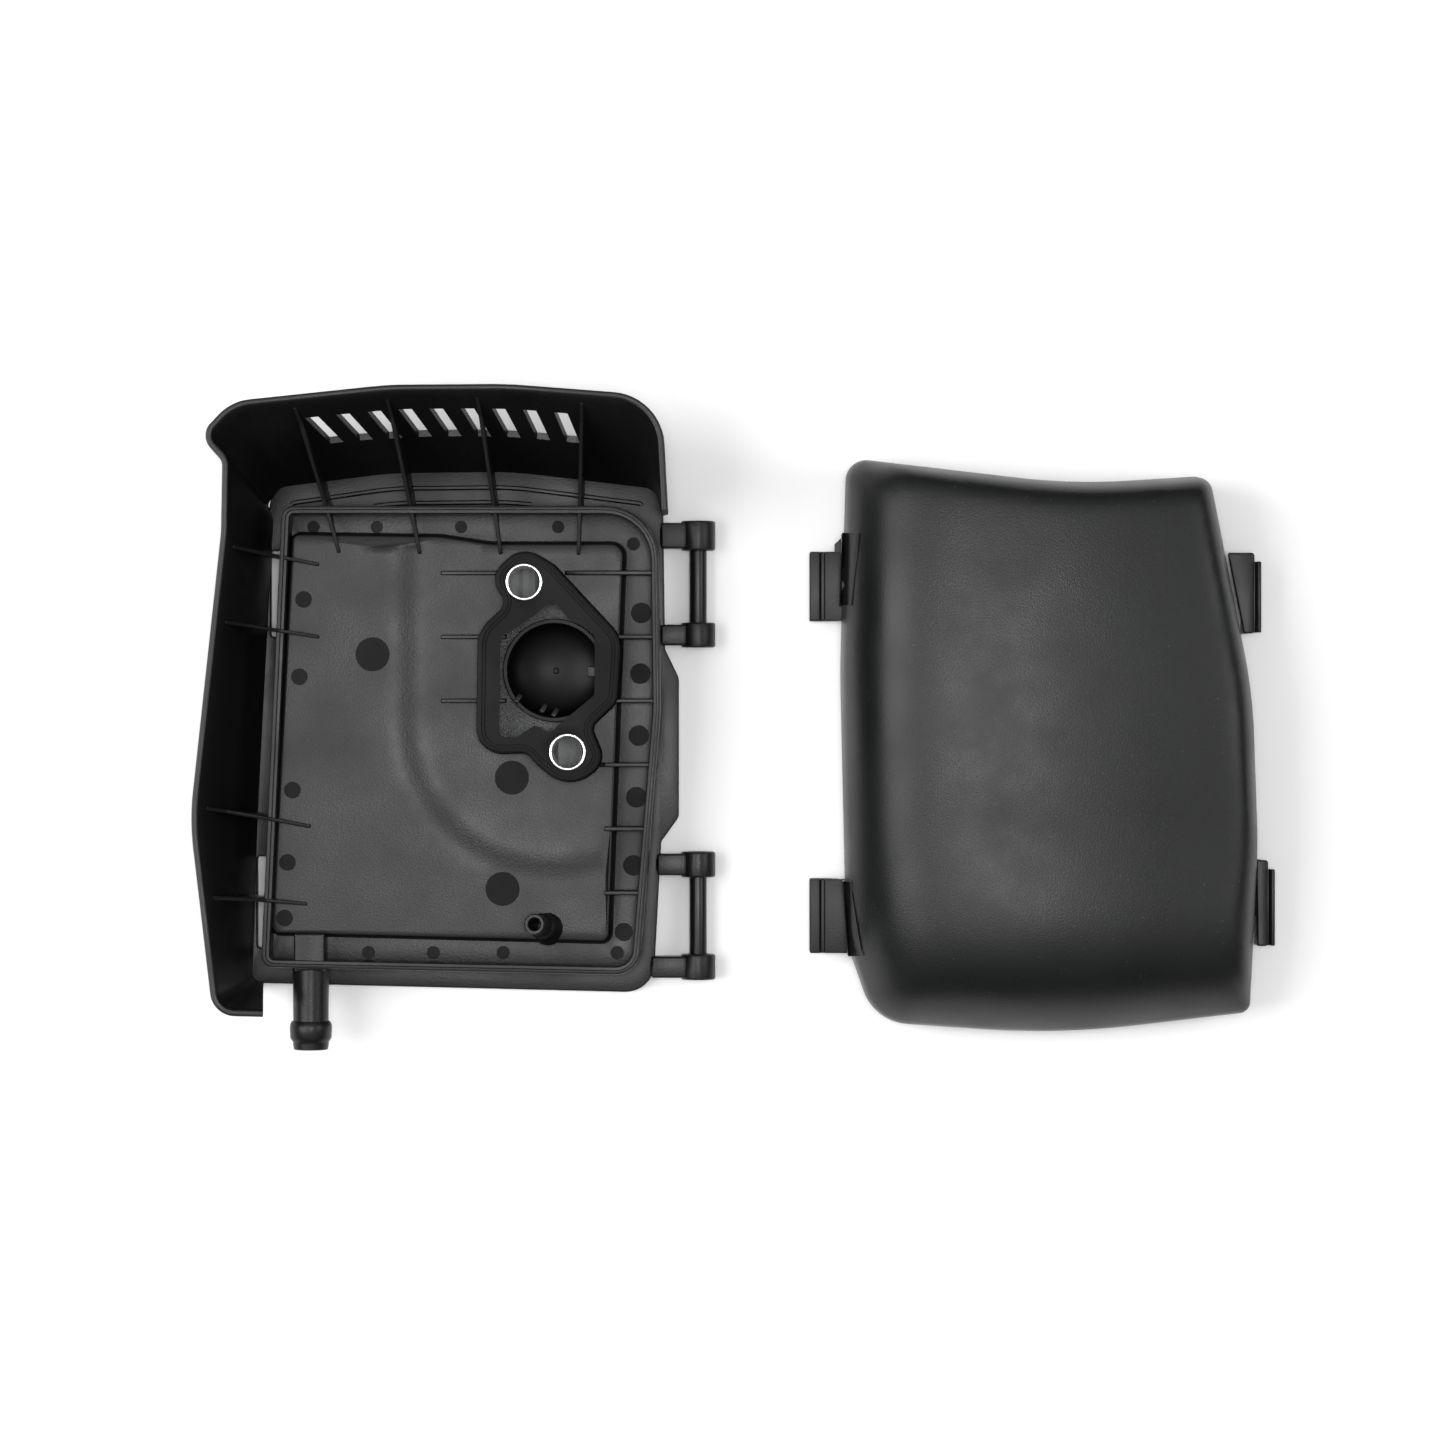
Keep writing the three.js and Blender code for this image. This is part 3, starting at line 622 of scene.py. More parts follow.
# Ribs to the shroud: a place on the frame wall, and one further out that gives the direction.
HOOD_RIBS = [
    ((near, 59), (far, 85))
    for near, far in ((-89.3, -96.3), (-69, -73.8), (-48.9, -52.3), (-28.3, -27.4))
]
SIDE_RIBS = [
    ((-99, 46.6), (-115, 49.7)), ((-99, 28.9), (-115, 31.4)),
    ((-101, -16.4), (-117, -13.2)), ((-102, -35.8), (-118, -34.2)),
]
SPIGOT_X = (low("breather_spigot", 0) + high("breather_spigot", 0)) / 2
SPIGOT_Z = (low("breather_spigot") + high("breather_spigot")) / 2
SPIGOT_TIP = low("breather_spigot", 1)
SPIGOT_BORE = 3.1


def centre_of(node):
    return [(low(node, axis) + high(node, axis)) / 2 for axis in range(2)]


SLEEVES = {name: centre_of(name) for name in ("screw_sleeve_upper", "screw_sleeve_lower")}
BOWL_X, BOWL_Y = centre_of("intake_bowl")
BOWL_RADIUS = (high("intake_bowl", 0) - low("intake_bowl", 0)) / 2
BOWL_FOOT = low("intake_bowl")

# The recess round the flange: everything within a distance of a line from here up the plate.
RECESS_MIDDLE = (-34.5, 7.5)
RECESS_RADIUS = 35.5
RECESS_SLOPE = 4.2


def recess(x, y):
    """How far the back plate dips at a place."""
    away = math.hypot(x - RECESS_MIDDLE[0], min(y - RECESS_MIDDLE[1], 0))
    share = (RECESS_RADIUS + RECESS_SLOPE - away) / (2 * RECESS_SLOPE)
    share = max(0.0, min(1.0, share))
    return RECESS_DEPTH * share * share * (3 - 2 * share)


def hinge_side_x(y):
    """X of the frame wall's outer face on the hinge side."""
    (right, corner), (left, bottom) = [point[:2] for point in FRAME[2:4]]
    return right + (left - right) * max(0, (corner - y) / (corner - bottom))


def ejector_marks():
    """Places [x, y, z, radius] of the round tool marks."""
    right = [(-13.7, 33.6), (-13.9, 18.9), (-14.3, 3.9), (-14.9, -11), (-15.6, -27.5)]
    marks = [(x, y, GUTTER_TOP, 2.5) for x, y in right]
    marks += [(x, 54.4, GUTTER_TOP, 1.5) for x in (-93, -77.7, -57.3, -33.8)]
    marks += [(x, -48.6, GUTTER_TOP, 1.6) for x in (-79.7, -64, -47.1, -19.5)]
    marks += [(-15.6, 50.3, GUTTER_TOP, 1.6), (-17.9, -43.6, GUTTER_TOP, 2.2)]
    marks += [(x, y, PLATE_TOP, 4.1) for x, y in ((-78.3, 23.5), (-44.8, -6.2), (-47, -33))]
    marks += [
        (x, y, PLATE_TOP, 2)
        for x, y in ((-94.9, 36.7), (-95.9, 18.1), (-97.6, -9.2), (-98.8, -26.6), (-99.5, -40))
    ]
    return marks


def tray():
    """Lip, standing frame wall, gutter with its ribs, and two low ridges under the hood."""
    shape = Shape()
    cuts = [shaped_hole(inset(FRAME, 1.0))] + [shaped_hole(window, 2) for window in LATCH_WINDOWS]
    slab(shape, ring_of(LIP), cuts, 0, LIP_TOP, 0.4)
    wall = [
        (0, 0), (0, FRAME_TOP - 0.35), (-0.1, FRAME_TOP - 0.1), (-0.35, FRAME_TOP),
        (-0.85, FRAME_TOP), (-1.0, FRAME_TOP - 0.12), (-1.05, FRAME_TOP - 0.9),
        (-1.65, FRAME_TOP - 0.95), (-1.85, FRAME_TOP - 1.2), (-1.9, GUTTER_TOP - 1),
        (-WALL, GUTTER_UNDERSIDE), (-WALL, 0),
    ]
    sweep(shape, rounded(FRAME), wall)
    gutter_hole = shaped_hole(inset(PLATE, 0.8))
    slab(shape, ring_of(inset(FRAME, 0.9)), [gutter_hole], GUTTER_UNDERSIDE, GUTTER_TOP, 0.2)
    foot = GUTTER_TOP - 0.5
    for y in GUTTER_RIBS:
        end = hinge_side_x(y) - 0.9
        soft_box(shape, (-22.5, end), (y - RIB / 2, y + RIB / 2), (foot, FRAME_TOP - 2.2), 0.28)
    sides = (SPIGOT_X - 3.7, SPIGOT_X + 3.7)
    soft_box(shape, sides, (-52.6, -43.6), (foot, FRAME_TOP - 1.4), 0.5)
    ridge = [
        (0, LIP_TOP - 0.5), (0, LIP_TOP + 1.6), (-0.3, LIP_TOP + 1.9), (-0.8, LIP_TOP + 1.9),
        (-1.1, LIP_TOP + 1.6), (-1.1, LIP_TOP - 0.5),
    ]
    for offset in (4.6, 8.2):
        line = [p for p in rounded(inset(LIP, offset)) if p.y > 60.3]
        line.sort(key=lambda p: p.x)
        sweep(shape, line, ridge, closed=False)
    return shape


def plate():
    """Raised back plate with its recess and rounded rim."""
    shape = Shape()
    ring = ring_of(PLATE)
    holes = [round_hole(BOWL_X, BOWL_Y, BOWL_RADIUS - 0.6)]
    holes += [round_hole(x, y, 4.3) for x, y in SLEEVES.values()]
    levels = [(-0.9, GUTTER_TOP - 1), (-0.2, PLATE_TOP - 1.0), (0.05, PLATE_TOP - 0.5)]
    levels += [(0.3, PLATE_TOP - 0.15), (0.7, PLATE_TOP)]

    def sunk(x, y, z):
        return z - recess(x, y) * (z - GUTTER_TOP + 1) / (PLATE_TOP - GUTTER_TOP + 1)
    shape.rings([[(p.x, p.y, sunk(p.x, p.y, z)) for p in ring(d)] for d, z in levels])
    for hole in holes:
        heights = (GUTTER_TOP - 1, PLATE_TOP)
        shape.rings([[(p.x, p.y, sunk(p.x, p.y, z)) for p in hole(0)] for z in heights])
    cuts = [hole(0) for hole in holes]
    fill(shape, ring(0.7), cuts, lambda x, y: sunk(x, y, PLATE_TOP), spacing=2.2)
    fill(shape, ring(-0.9), cuts, GUTTER_TOP - 1)
    return shape


def plate_ribs():
    """Low ribs on the plate, the last stretches of the gutter and hood ribs."""
    shape = Shape()
    top = PLATE_TOP - RECESS_DEPTH + 1.5
    for y, start in zip(GUTTER_RIBS, (-32, -20, -21, -24, -22, -21)):
        run = -18 - start
        outline = [(0, top - 2.5), (0, top), (run, FRAME_TOP - 2.2), (run, top - 2.5)]
        fin(shape, (start, y), (-17, y), outline)
    for y, end in zip(GUTTER_RIBS[:3], (-48.5, -51, -52.5)):
        outline = [(0, top - 2.5), (0, top - 1.2), (7, top), (16, top), (16, top - 2.5)]
        fin(shape, (-62, y), (end, y), outline)
    return shape


def marks():
    """Round tool marks, a hair proud of the surface."""
    shape = Shape()
    for x, y, z, radius in ejector_marks():
        if z == PLATE_TOP:
            z -= recess(x, y)
        face = z + 0.05
        profile = [
            (0, z - 1), (radius, z - 1), (radius, face - 0.04), (radius - 0.05, face), (0, face),
        ]
        lathe(shape, profile, standing(x, y), 40)
    return shape


# Where the two fine grooves of the flange's gasket face start, in from its edge.
GROOVES = [1.15, 1.85]


def flange():
    """Carburettor flange with its seal groove, intake mouth and screw holes."""
    shape = Shape()
    ring = ring_of(FLANGE)
    foot = PLATE_TOP - RECESS_DEPTH - 0.8
    levels = [(-0.45, foot), (-0.1, foot + 1), (0, FLANGE_TOP - 0.5), (0.12, FLANGE_TOP - 0.15)]
    levels.append((0.4, FLANGE_TOP))
    for start in GROOVES:
        levels += [
            (start, FLANGE_TOP), (start + 0.04, FLANGE_TOP - 0.5),
            (start + 0.26, FLANGE_TOP - 0.5), (start + 0.3, FLANGE_TOP),
        ]
    shape.stack(ring, levels)
    holes = [shaped_hole(INTAKE)] + [round_hole(x, y, 4.35) for x, y in SLEEVES.values()]
    for hole in holes:
        rim = [(0, foot), (0, FLANGE_TOP - 0.35), (0.1, FLANGE_TOP - 0.1), (0.35, FLANGE_TOP)]
        shape.stack(hole, rim)
    fill(shape, ring(GROOVES[-1] + 0.3), [hole(0.35) for hole in holes], FLANGE_TOP)
    fill(shape, ring(-0.45), [hole(0) for hole in holes], foot)
    return shape


def recess_floor():
    """Spark-eroded floor of the intake mouth round the bowl."""
    shape = Shape()
    hole = round_hole(BOWL_X, BOWL_Y, BOWL_RADIUS - 0.3)
    slab(shape, ring_of(inset(INTAKE, -0.4)), [hole], 17, 19.4, 0.2)
    return shape


def bowl():
    """Snap-in intake bowl: thin rim, domed floor and the small pip of its gate."""
    shape = Shape()
    r = BOWL_RADIUS
    inner = r - 1.2
    floor = BOWL_FOOT + 1.2
    rim = PLATE_TOP + 2.9
    rising = np.linspace(0.15, math.pi / 2, 10)
    falling = np.linspace(math.pi / 2, 0.1, 10)
    profile = [(0, BOWL_FOOT)]
    profile += [(r * math.sin(a), BOWL_FOOT + 5 * (1 - math.cos(a))) for a in rising]
    profile += [(r, rim - 0.3), (r - 0.2, rim), (inner + 0.25, rim), (inner, rim - 0.3)]
    profile += [(inner * math.sin(a), floor + 4.6 * (1 - math.cos(a))) for a in falling]
    profile += [(0.8, floor + 0.02), (0.65, floor + 0.5), (0, floor + 0.65)]
    lathe(shape, profile, standing(BOWL_X, BOWL_Y), 72)
    return shape


def snap_tabs():
    """Small prongs that hold the bowl, at the mouth's lower edge and on its right."""
    shape = Shape()
    for x, y, turn in ((-37.6, 9.4, 0.5), (-34.8, 8.4, 0.5), (-43.9, 11.8, 0.6)):
        reach = (x + 2.6 * math.sin(turn), y + 2.6 * math.cos(turn))
        fin(shape, (x, y), reach, [(0, 17.5), (0, 23.5), (2.6, 22.6), (2.6, 17.5)], 1.3)
    soft_box(shape, (-26.4, -24.0), (BOWL_Y - 1.6, BOWL_Y + 1.0), (18, 24.6), 0.25)
    return shape


def sleeve(x, y, node):
    """Rolled steel sleeve with rounded rims."""
    shape = Shape()
    foot, top = low(node), high(node)
    outer = (high(node, 0) - low(node, 0)) / 2
    inner = outer - 0.62
    profile = [
        (outer, foot + 0.2), (outer, top - 0.22), (outer - 0.08, top - 0.06), (outer - 0.24, top),
        (inner + 0.22, top), (inner + 0.06, top - 0.08), (inner, top - 0.3), (inner, foot + 0.2),
        (inner + 0.2, foot), (outer - 0.2, foot),
    ]
    lathe(shape, profile, standing(x, y), 64, closed=True)
    return shape


SHROUD_BOTTOM = LIP_TOP - 0.6
SHROUD_STEPS = 12
COLUMN_STEP = 6.5
# Louvres: nine slots that fan out a little towards the rim.
LOUVRES = 9
LOUVRE_WIDTH = 3.2
LOUVRE_HEIGHTS = (20.5, 33.5)
LOUVRE_MIDDLES = (-58.4, -62.2)
LOUVRE_PITCHES = (7.15, 7.45)


def shroud():
    """Louvred hood and side shroud, one wall that leans outwards from the lip to the rim."""
    foot = rounded_line(SHROUD_FOOT, SHROUD_STEPS)
    rim = rounded_line(SHROUD_RIM, SHROUD_STEPS)
    bottom = SHROUD_BOTTOM
    heights = [bottom, 8, 13.5, *LOUVRE_HEIGHTS, 38.5, RIM_TOP - 0.5, RIM_TOP - 0.12, RIM_TOP]
    # How far each face is drawn in where the rim's edge is rounded.
    trims = {RIM_TOP: 0.42, RIM_TOP - 0.12: 0.14}

    def along(line, x):
        """The line's place at an X along its top stretch."""
        top = [p for p in line if p.y > 50]
        for a, b in zip(top, top[1:]):
            if (a.x - x) * (b.x - x) <= 0 and a.x != b.x:
                share = (a.x - x) / (a.x - b.x)
                return a + (b - a) * share
        return None

    def columns():
        """Pairs of foot and rim points, with the louvres' sides among them."""
        edges = []
        for i in range(LOUVRES):
            place = i - (LOUVRES - 1) / 2
            for side in (1, -1):
                lower, upper = (
                    LOUVRE_MIDDLES[k] + place * LOUVRE_PITCHES[k] + side * LOUVRE_WIDTH / 2 for k in (0, 1)
                )
                rise = (upper - lower) / (LOUVRE_HEIGHTS[1] - LOUVRE_HEIGHTS[0])
                edges.append((
                    along(foot, lower - rise * (LOUVRE_HEIGHTS[0] - bottom)),
                    along(rim, upper + rise * (RIM_TOP - LOUVRE_HEIGHTS[1])),
                    "louvre",
                ))
        first = min(e[1].x for e in edges)
        last = max(e[1].x for e in edges)
        pairs = []
        added = False
        for f, r in zip(foot, rim):
            if r.y > 80 and first - 4 < r.x < last + 4:
                if not added:
                    pairs += sorted(edges, key=lambda e: -e[1].x)
                    added = True
                continue
            pairs.append((f, r, "plain"))
        finer = pairs[:1]
        for before, after in zip(pairs, pairs[1:]):
            count = max(1, round((after[1] - before[1]).length / COLUMN_STEP))
            for i in range(1, count):
                share = i / count
                finer.append((
                    before[0].lerp(after[0], share), before[1].lerp(after[1], share), "plain",
                ))
            finer.append(after)
        return finer

    pairs = columns()
    louvre = [i for i, pair in enumerate(pairs) if pair[2] == "louvre"]
    slots = {louvre[i] for i in range(0, len(louvre), 2)}

    def column(i, height, depth):
        """Point of the wall at a column, height and depth under its outer face."""
        share = (height - bottom) / (RIM_TOP - bottom)
        near = (pairs[max(i - 1, 0)], pairs[i], pairs[min(i + 1, len(pairs) - 1)])
        line = [pair[0].lerp(pair[1], share) for pair in near]
        run = (line[2] - line[0]).normalized()
        return line[1] + Vector((-run.y, run.x)) * depth

    shape = Shape()
    depths = (0, SHROUD_WALL)
    grid = []
    index = {}
    for i in range(len(pairs)):
        for j, height in enumerate(heights):
            for k, depth in enumerate(depths):
                trim = trims.get(height, 0)
                p = column(i, height, depth + (trim if k == 0 else -trim))
                index[i, j, k] = len(grid)
                grid.append((p.x, p.y, height))
    row = heights.index(LOUVRE_HEIGHTS[0])
    last = len(heights) - 1
    faces = []

    def quad(a, b, c, d):
        faces.append([index[a], index[b], index[c], index[d]])

    for i in range(len(pairs) - 1):
        for j in range(last):
            if i in slots and j == row:
                for end in (j, j + 1):
                    quad((i, end, 0), (i + 1, end, 0), (i + 1, end, 1), (i, end, 1))
                for side in (i, i + 1):
                    quad((side, j, 0), (side, j + 1, 0), (side, j + 1, 1), (side, j, 1))
                continue
            for k in (0, 1):
                quad((i, j, k), (i + 1, j, k), (i + 1, j + 1, k), (i, j + 1, k))
        for j in (0, last):
            quad((i, j, 0), (i + 1, j, 0), (i + 1, j, 1), (i, j, 1))
    for i in (0, len(pairs) - 1):
        for j in range(last):
            quad((i, j, 0), (i, j + 1, 0), (i, j + 1, 1), (i, j, 1))
    shape.add(grid, faces)
    return shape


def wall_reach(start, along, height):
    """Distance from a place, along a direction, to the middle of the shroud's wall at a height."""
    share = (height - SHROUD_BOTTOM) / (RIM_TOP - SHROUD_BOTTOM)
    lines = (rounded_line(corners, SHROUD_STEPS) for corners in (SHROUD_FOOT, SHROUD_RIM))
    line = [f.lerp(r, share) for f, r in zip(*lines)]
    best = None
    for a, b in zip(line, line[1:]):
        span = b - a
        cross = along.x * span.y - along.y * span.x
        if abs(cross) < 1e-9:
            continue
        gap = a - start
        reach = (gap.x * span.y - gap.y * span.x) / cross
        place = (gap.x * along.y - gap.y * along.x) / cross
        if reach > 0 and 0 <= place <= 1 and (best is None or reach < best):
            best = reach
    return best - SHROUD_WALL * 0.55


def shroud_ribs():
    """Gussets between the shroud's wall and the frame wall, running out on the back plate."""
    shape = Shape()
    groups = [(HOOD_RIBS, 11.5, 3.4, LIP_TOP - 0.2), (SIDE_RIBS, 8.0, 6.0, 10)]
    for ribs, run, below_rim, foot in groups:
        for near, far in ribs:
            along = (Vector(far) - Vector(near)).normalized()
            start = Vector(near) - along * run
            top = RIM_TOP - below_rim
            high_end, low_end = (wall_reach(start, along, z) for z in (top, foot))
            outline = [
                (0, PLATE_TOP - 2), (0, PLATE_TOP + 0.35), (2.5, PLATE_TOP + 1.0),
                (run - 1, FRAME_TOP - 1), (run + 1.5, FRAME_TOP + 0.3),
                (high_end - 5, top - 5), (high_end - 0.8, top), (high_end, top), (low_end, foot),
                (run - 0.3, foot), (run - 0.3, PLATE_TOP - 6), (run - 2.5, PLATE_TOP - 6),
                (run - 4.5, PLATE_TOP - 2),
            ]
            fin(shape, tuple(start), far, outline, 0.9, 0.2)
    return shape


def spigot():
    """Breather hose spigot with its barb."""
    shape = Shape()
    tip, root = SPIGOT_TIP, -51.8
    profile = [
        (SPIGOT_BORE, root), (4.45, root), (4.35, root - 2.2), (4.25, tip + 6.8), (4.6, tip + 6.9),
        (5.0, tip + 6.2), (5.08, tip + 5.4), (5.0, tip + 2.9), (4.55, tip + 2.2), (4.35, tip + 1.9),
        (4.3, tip + 1.3), (4.15, tip + 0.2), (3.9, tip), (SPIGOT_BORE + 0.2, tip),
        (SPIGOT_BORE, tip + 0.3),
    ]
    lathe(shape, profile, lying(SPIGOT_X, SPIGOT_Z), closed=True)
    return shape


NIPPLE_FOOT = Vector((-36.2, -42.4, 18.6))
NIPPLE_TIP = Vector((-38.9, -41.0, 32.0))


def nipple():
    """Small vent nipple that leans away from the plate's edge."""
    shape = Shape()
    lean = (NIPPLE_TIP - NIPPLE_FOOT).to_track_quat("Z", "Y").to_matrix().to_4x4()
    length = (NIPPLE_TIP - NIPPLE_FOOT).length
    profile = [
        (0, -0.5), (4.2, -0.5), (3.8, 1.2), (3.3, 2.2), (3.1, 6), (2.6, 6.6), (2.45, 9), (2.55, 10.2),
        (2.5, length - 0.3), (2.25, length), (1.7, length), (1.5, length - 0.3), (1.5, 4), (0, 4),
    ]
    lathe(shape, profile, Matrix.Translation(NIPPLE_FOOT) @ lean, 40)
    return shape


BAR_RADIUS = 2.1
BAR_BORE = 2.45
BARREL_RADIUS = 4.2
# Where each ear's arm leaves the lip, in X.
HINGE_EARS = {
    "hinge_ear_upper_1": -7.8, "hinge_ear_upper_2": -7.8,
    "hinge_ear_lower_1": -8.7, "hinge_ear_lower_2": -10.1,
}


def hinge_ear(node, arm_start):
    """Barrel round the bar, with its arm from the lip."""
    shape = Shape()
    bottom, top = low(node, 1), high(node, 1)
    rod(shape, lying(0, HINGE_Z), BARREL_RADIUS, bottom, top, 0.5, bore=BAR_BORE)
    arm = [
        [arm_start - 1.2, 7.3, 0.5], [-2.6, 7.3, 0.8], [-2.6, 1, 0.5], [arm_start - 1.2, 0.8, 0.5],
    ]
    along_y(shape, arm, bottom + 0.5, top - 0.5, 0.5)
    web = [
        [arm_start - 1.5, 5.5, 0.5], [-1.9, 5.5, 0.5], [-1.9, 2.5, 0.5], [arm_start - 1.5, 2.5, 0.5],
    ]
    along_y(shape, web, bottom + 1.6, top - 1.6, 0.3)
    return shape


def hinge_bar(node):
    shape = Shape()
    rod(shape, lying(0, HINGE_Z), BAR_RADIUS, low(node, 1), high(node, 1))
    return shape


# ---- cover ----

def laid_open(x, y, z):
    """Shapes of the cover are drawn as it hangs on its bars, and lie further out when it is open."""
    return (x + TRAVEL, y, z)


def smooth_step(value, start, end):
    share = max(0.0, min(1.0, (value - start) / (end - start)))
    return share * share * (3 - 2 * share)


class EdgeDistance:
    """Distance to an outline that stays smooth across the middle and in the corners.

    weight(x, y) is under 1 where the outline counts for less, and so seems further away.
    """

    def __init__(self, outline, weight, spacing=0.4):
        loop = np.array([tuple(p) for p in outline])
        ends = np.roll(loop, -1, axis=0)
        samples = []
        weights = []
        for start, end in zip(loop, ends):
            length = np.hypot(*(end - start))
            count = max(1, int(length / spacing))
            shares = (np.arange(count) + 0.5) / count
            samples.append(start + (end - start) * shares[:, None])
            weights.append(np.full(count, length / count))
        self.samples = np.concatenate(samples)
        shares = np.array([weight(x, y) for x, y in self.samples])
        self.weights = np.concatenate(weights) * shares

    def __call__(self, x, y):
        squared = (self.samples[:, 0] - x) ** 2 + (self.samples[:, 1] - y) ** 2
        total = (self.weights / squared ** 2).sum()
        return (math.pi / (2 * total)) ** (1 / 3)


SHOULDER_Z = 15.0
TIGHT_EDGE = 0.03
RISE = CROWN_TOP - SHOULDER_Z - 0.1


def shoulder_weight(x, y):
    """1 along the broad shoulders on the hinge side and at the bottom, little elsewhere."""
    hinge_side = smooth_step(16 - x, 0, 8)
    bottom = smooth_step(-y, 56, 64)
    return TIGHT_EDGE + (1 - TIGHT_EDGE) * max(hinge_side, bottom)


COVER_EDGE = EdgeDistance(rounded(COVER, 14), shoulder_weight)


def skin(x, y):
    """Height of the cover's outer skin: a round shoulder that runs out into a broad crown."""
    bottom = smooth_step(-y, 15, 62)
    rounding = 1 - math.exp(-COVER_EDGE(x, y) / (4.6 + 3.4 * bottom))
    belly = 0.29 * (1 - ((x - 48) / 58) ** 2) + 0.15 * (1 - ((y - 4) / 72) ** 2)
    return SHOULDER_Z + RISE * rounding * (0.50 + 0.12 * bottom + belly)


def divided(outline, counts):
    """The closed outline with each stretch cut into a number of equal parts."""
    finer = []
    for i, count in enumerate(counts):
        point, after = outline[i], outline[(i + 1) % len(outline)]
        finer += [point.lerp(after, part / count) for part in range(count)]
    return finer


def cover_shape():
    """Crowned shell: a straight skirt, a round shoulder and a broad, nearly level top."""
    shape = Shape(laid_open)
    outline = rounded(COVER, 14)
    lengths = [(outline[i] - outline[i - 1]).length for i in range(len(outline))]
    counts = [max(1, round(length / 2)) for length in lengths[1:] + lengths[:1]]

    def ring(distance):
        return divided(rounded(inset(COVER, distance), 14), counts)

    side = [(0.35, SKIRT_Z), (0.1, SKIRT_Z + 0.15), (0, SKIRT_Z + 0.5), (0.1, SKIRT_Z + 3)]
    side.append((0.3, SHOULDER_Z - 0.6))
    rings = [[(p.x, p.y, z) for p in ring(d)] for d, z in side]
    for d in (0.75, 1.3, 2.0, 2.8, 3.8):
        rings.append([(p.x, p.y, skin(p.x, p.y)) for p in ring(d)])
    shape.rings(rings)
    fill(shape, ring(3.8), [], skin, spacing=1.7)
    lining = [(0.35, SKIRT_Z), (1.7, SKIRT_Z), (2.0, SKIRT_Z + 0.4), (2.3, SHOULDER_Z - 2.4)]
    rings = [[(p.x, p.y, z) for p in ring(d)] for d, z in lining]
    for d in (3.0, 4.4, 6.0):
        rings.append([(p.x, p.y, skin(p.x, p.y) - 2) for p in ring(d)])
    shape.rings(rings)
    fill(shape, ring(6.0), [], lambda x, y: skin(x, y) - 2, spacing=4)
    return shape


def cover_hook(node):
    """Open hook round the hinge bar, with a groove behind its nose and a plate to the shell."""
    shape = Shape(laid_open)
    bottom, top = low(node, 1), high(node, 1)
    inner, outer = BAR_BORE, 3.85
    crest = 2 * HINGE_Z
    foot = HINGE_Z - outer
    section = [
        [-3.4, crest, 0.5], [-0.9, crest, 0.4], [-0.75, crest - 0.8, 0.25], [0.1, crest - 0.8, 0.25],
        [0.3, crest - 0.05, 0.3], [8, crest, 0.3], [8, crest - 0.8, 0.3], [5.4, crest - 1.75, 0.6],
        [outer, crest - 1.75, 0.3], [outer, foot, outer * 0.98], [-3.4, foot, 0.5],
        [-3.4, HINGE_Z - inner, 0.3], [inner, HINGE_Z - inner, inner * 0.98],
        [inner, HINGE_Z + inner, inner * 0.98], [-3.4, HINGE_Z + inner, 0.3],
    ]
    along_y(shape, section, bottom, top, 0.3, 6)
    return shape


# Webs that stand on the hooks' plates against the skirt: plan corners [x, y, radius].
HOOK_WEBS = [
    [[4.2, 53.0, 0.4], [8.2, 52.6, 0.4], [6.4, 35.2, 0.3], [3.6, 35.2, 0.3]],
    [[4.4, -31.2, 0.3], [6.4, -31.2, 0.3], [9.3, -49.2, 0.5], [5.6, -49.4, 0.4]],
]
HOOK_WING = [[2.6, 50.4, 0.3], [4.9, 52.6, 0.5], [7.5, 52.4, 0.3], [7.5, 44, 0.3], [2.6, 44, 0.3]]


def gussets():
    """Webs that stand proud of the skin, and the wing that widens the upper hook's plate."""
    shape = Shape(laid_open)
    crest = 2 * HINGE_Z
    for web in HOOK_WEBS:
        ring = ring_of(web, 4)
        levels = [(0, None), (0, 0.35), (0.08, 0.52), (0.25, 0.6)]
        rings = [
            [(p.x, p.y, crest - 0.6 if proud is None else skin(p.x, p.y) + proud) for p in ring(d)]
            for d, proud in levels
        ]
        shape.rings(rings)
        fill(shape, ring(0.25), [], lambda x, y: skin(x, y) + 0.6, spacing=1.2)
    slab(shape, ring_of(HOOK_WING, 4), [], crest - 0.5, crest - 0.1, 0.1)
    return shape


# Latches: the leg's X and Y, the catch's tip X and its Y, and the root tab's X at its two ends.
LATCHES = {
    "cover_latch_upper": {
        "leg": (101.9, 103.5), "y": (28.7, 48.3), "catch": (101.1, 36, 46), "root": (98.0, 101.9),
    },
    "cover_latch_lower": {
        "leg": (105.2, 106.8), "y": (-47.2, -26.3), "catch": (104.6, -40, -29), "root": (104.9, 105.2),
    },
}


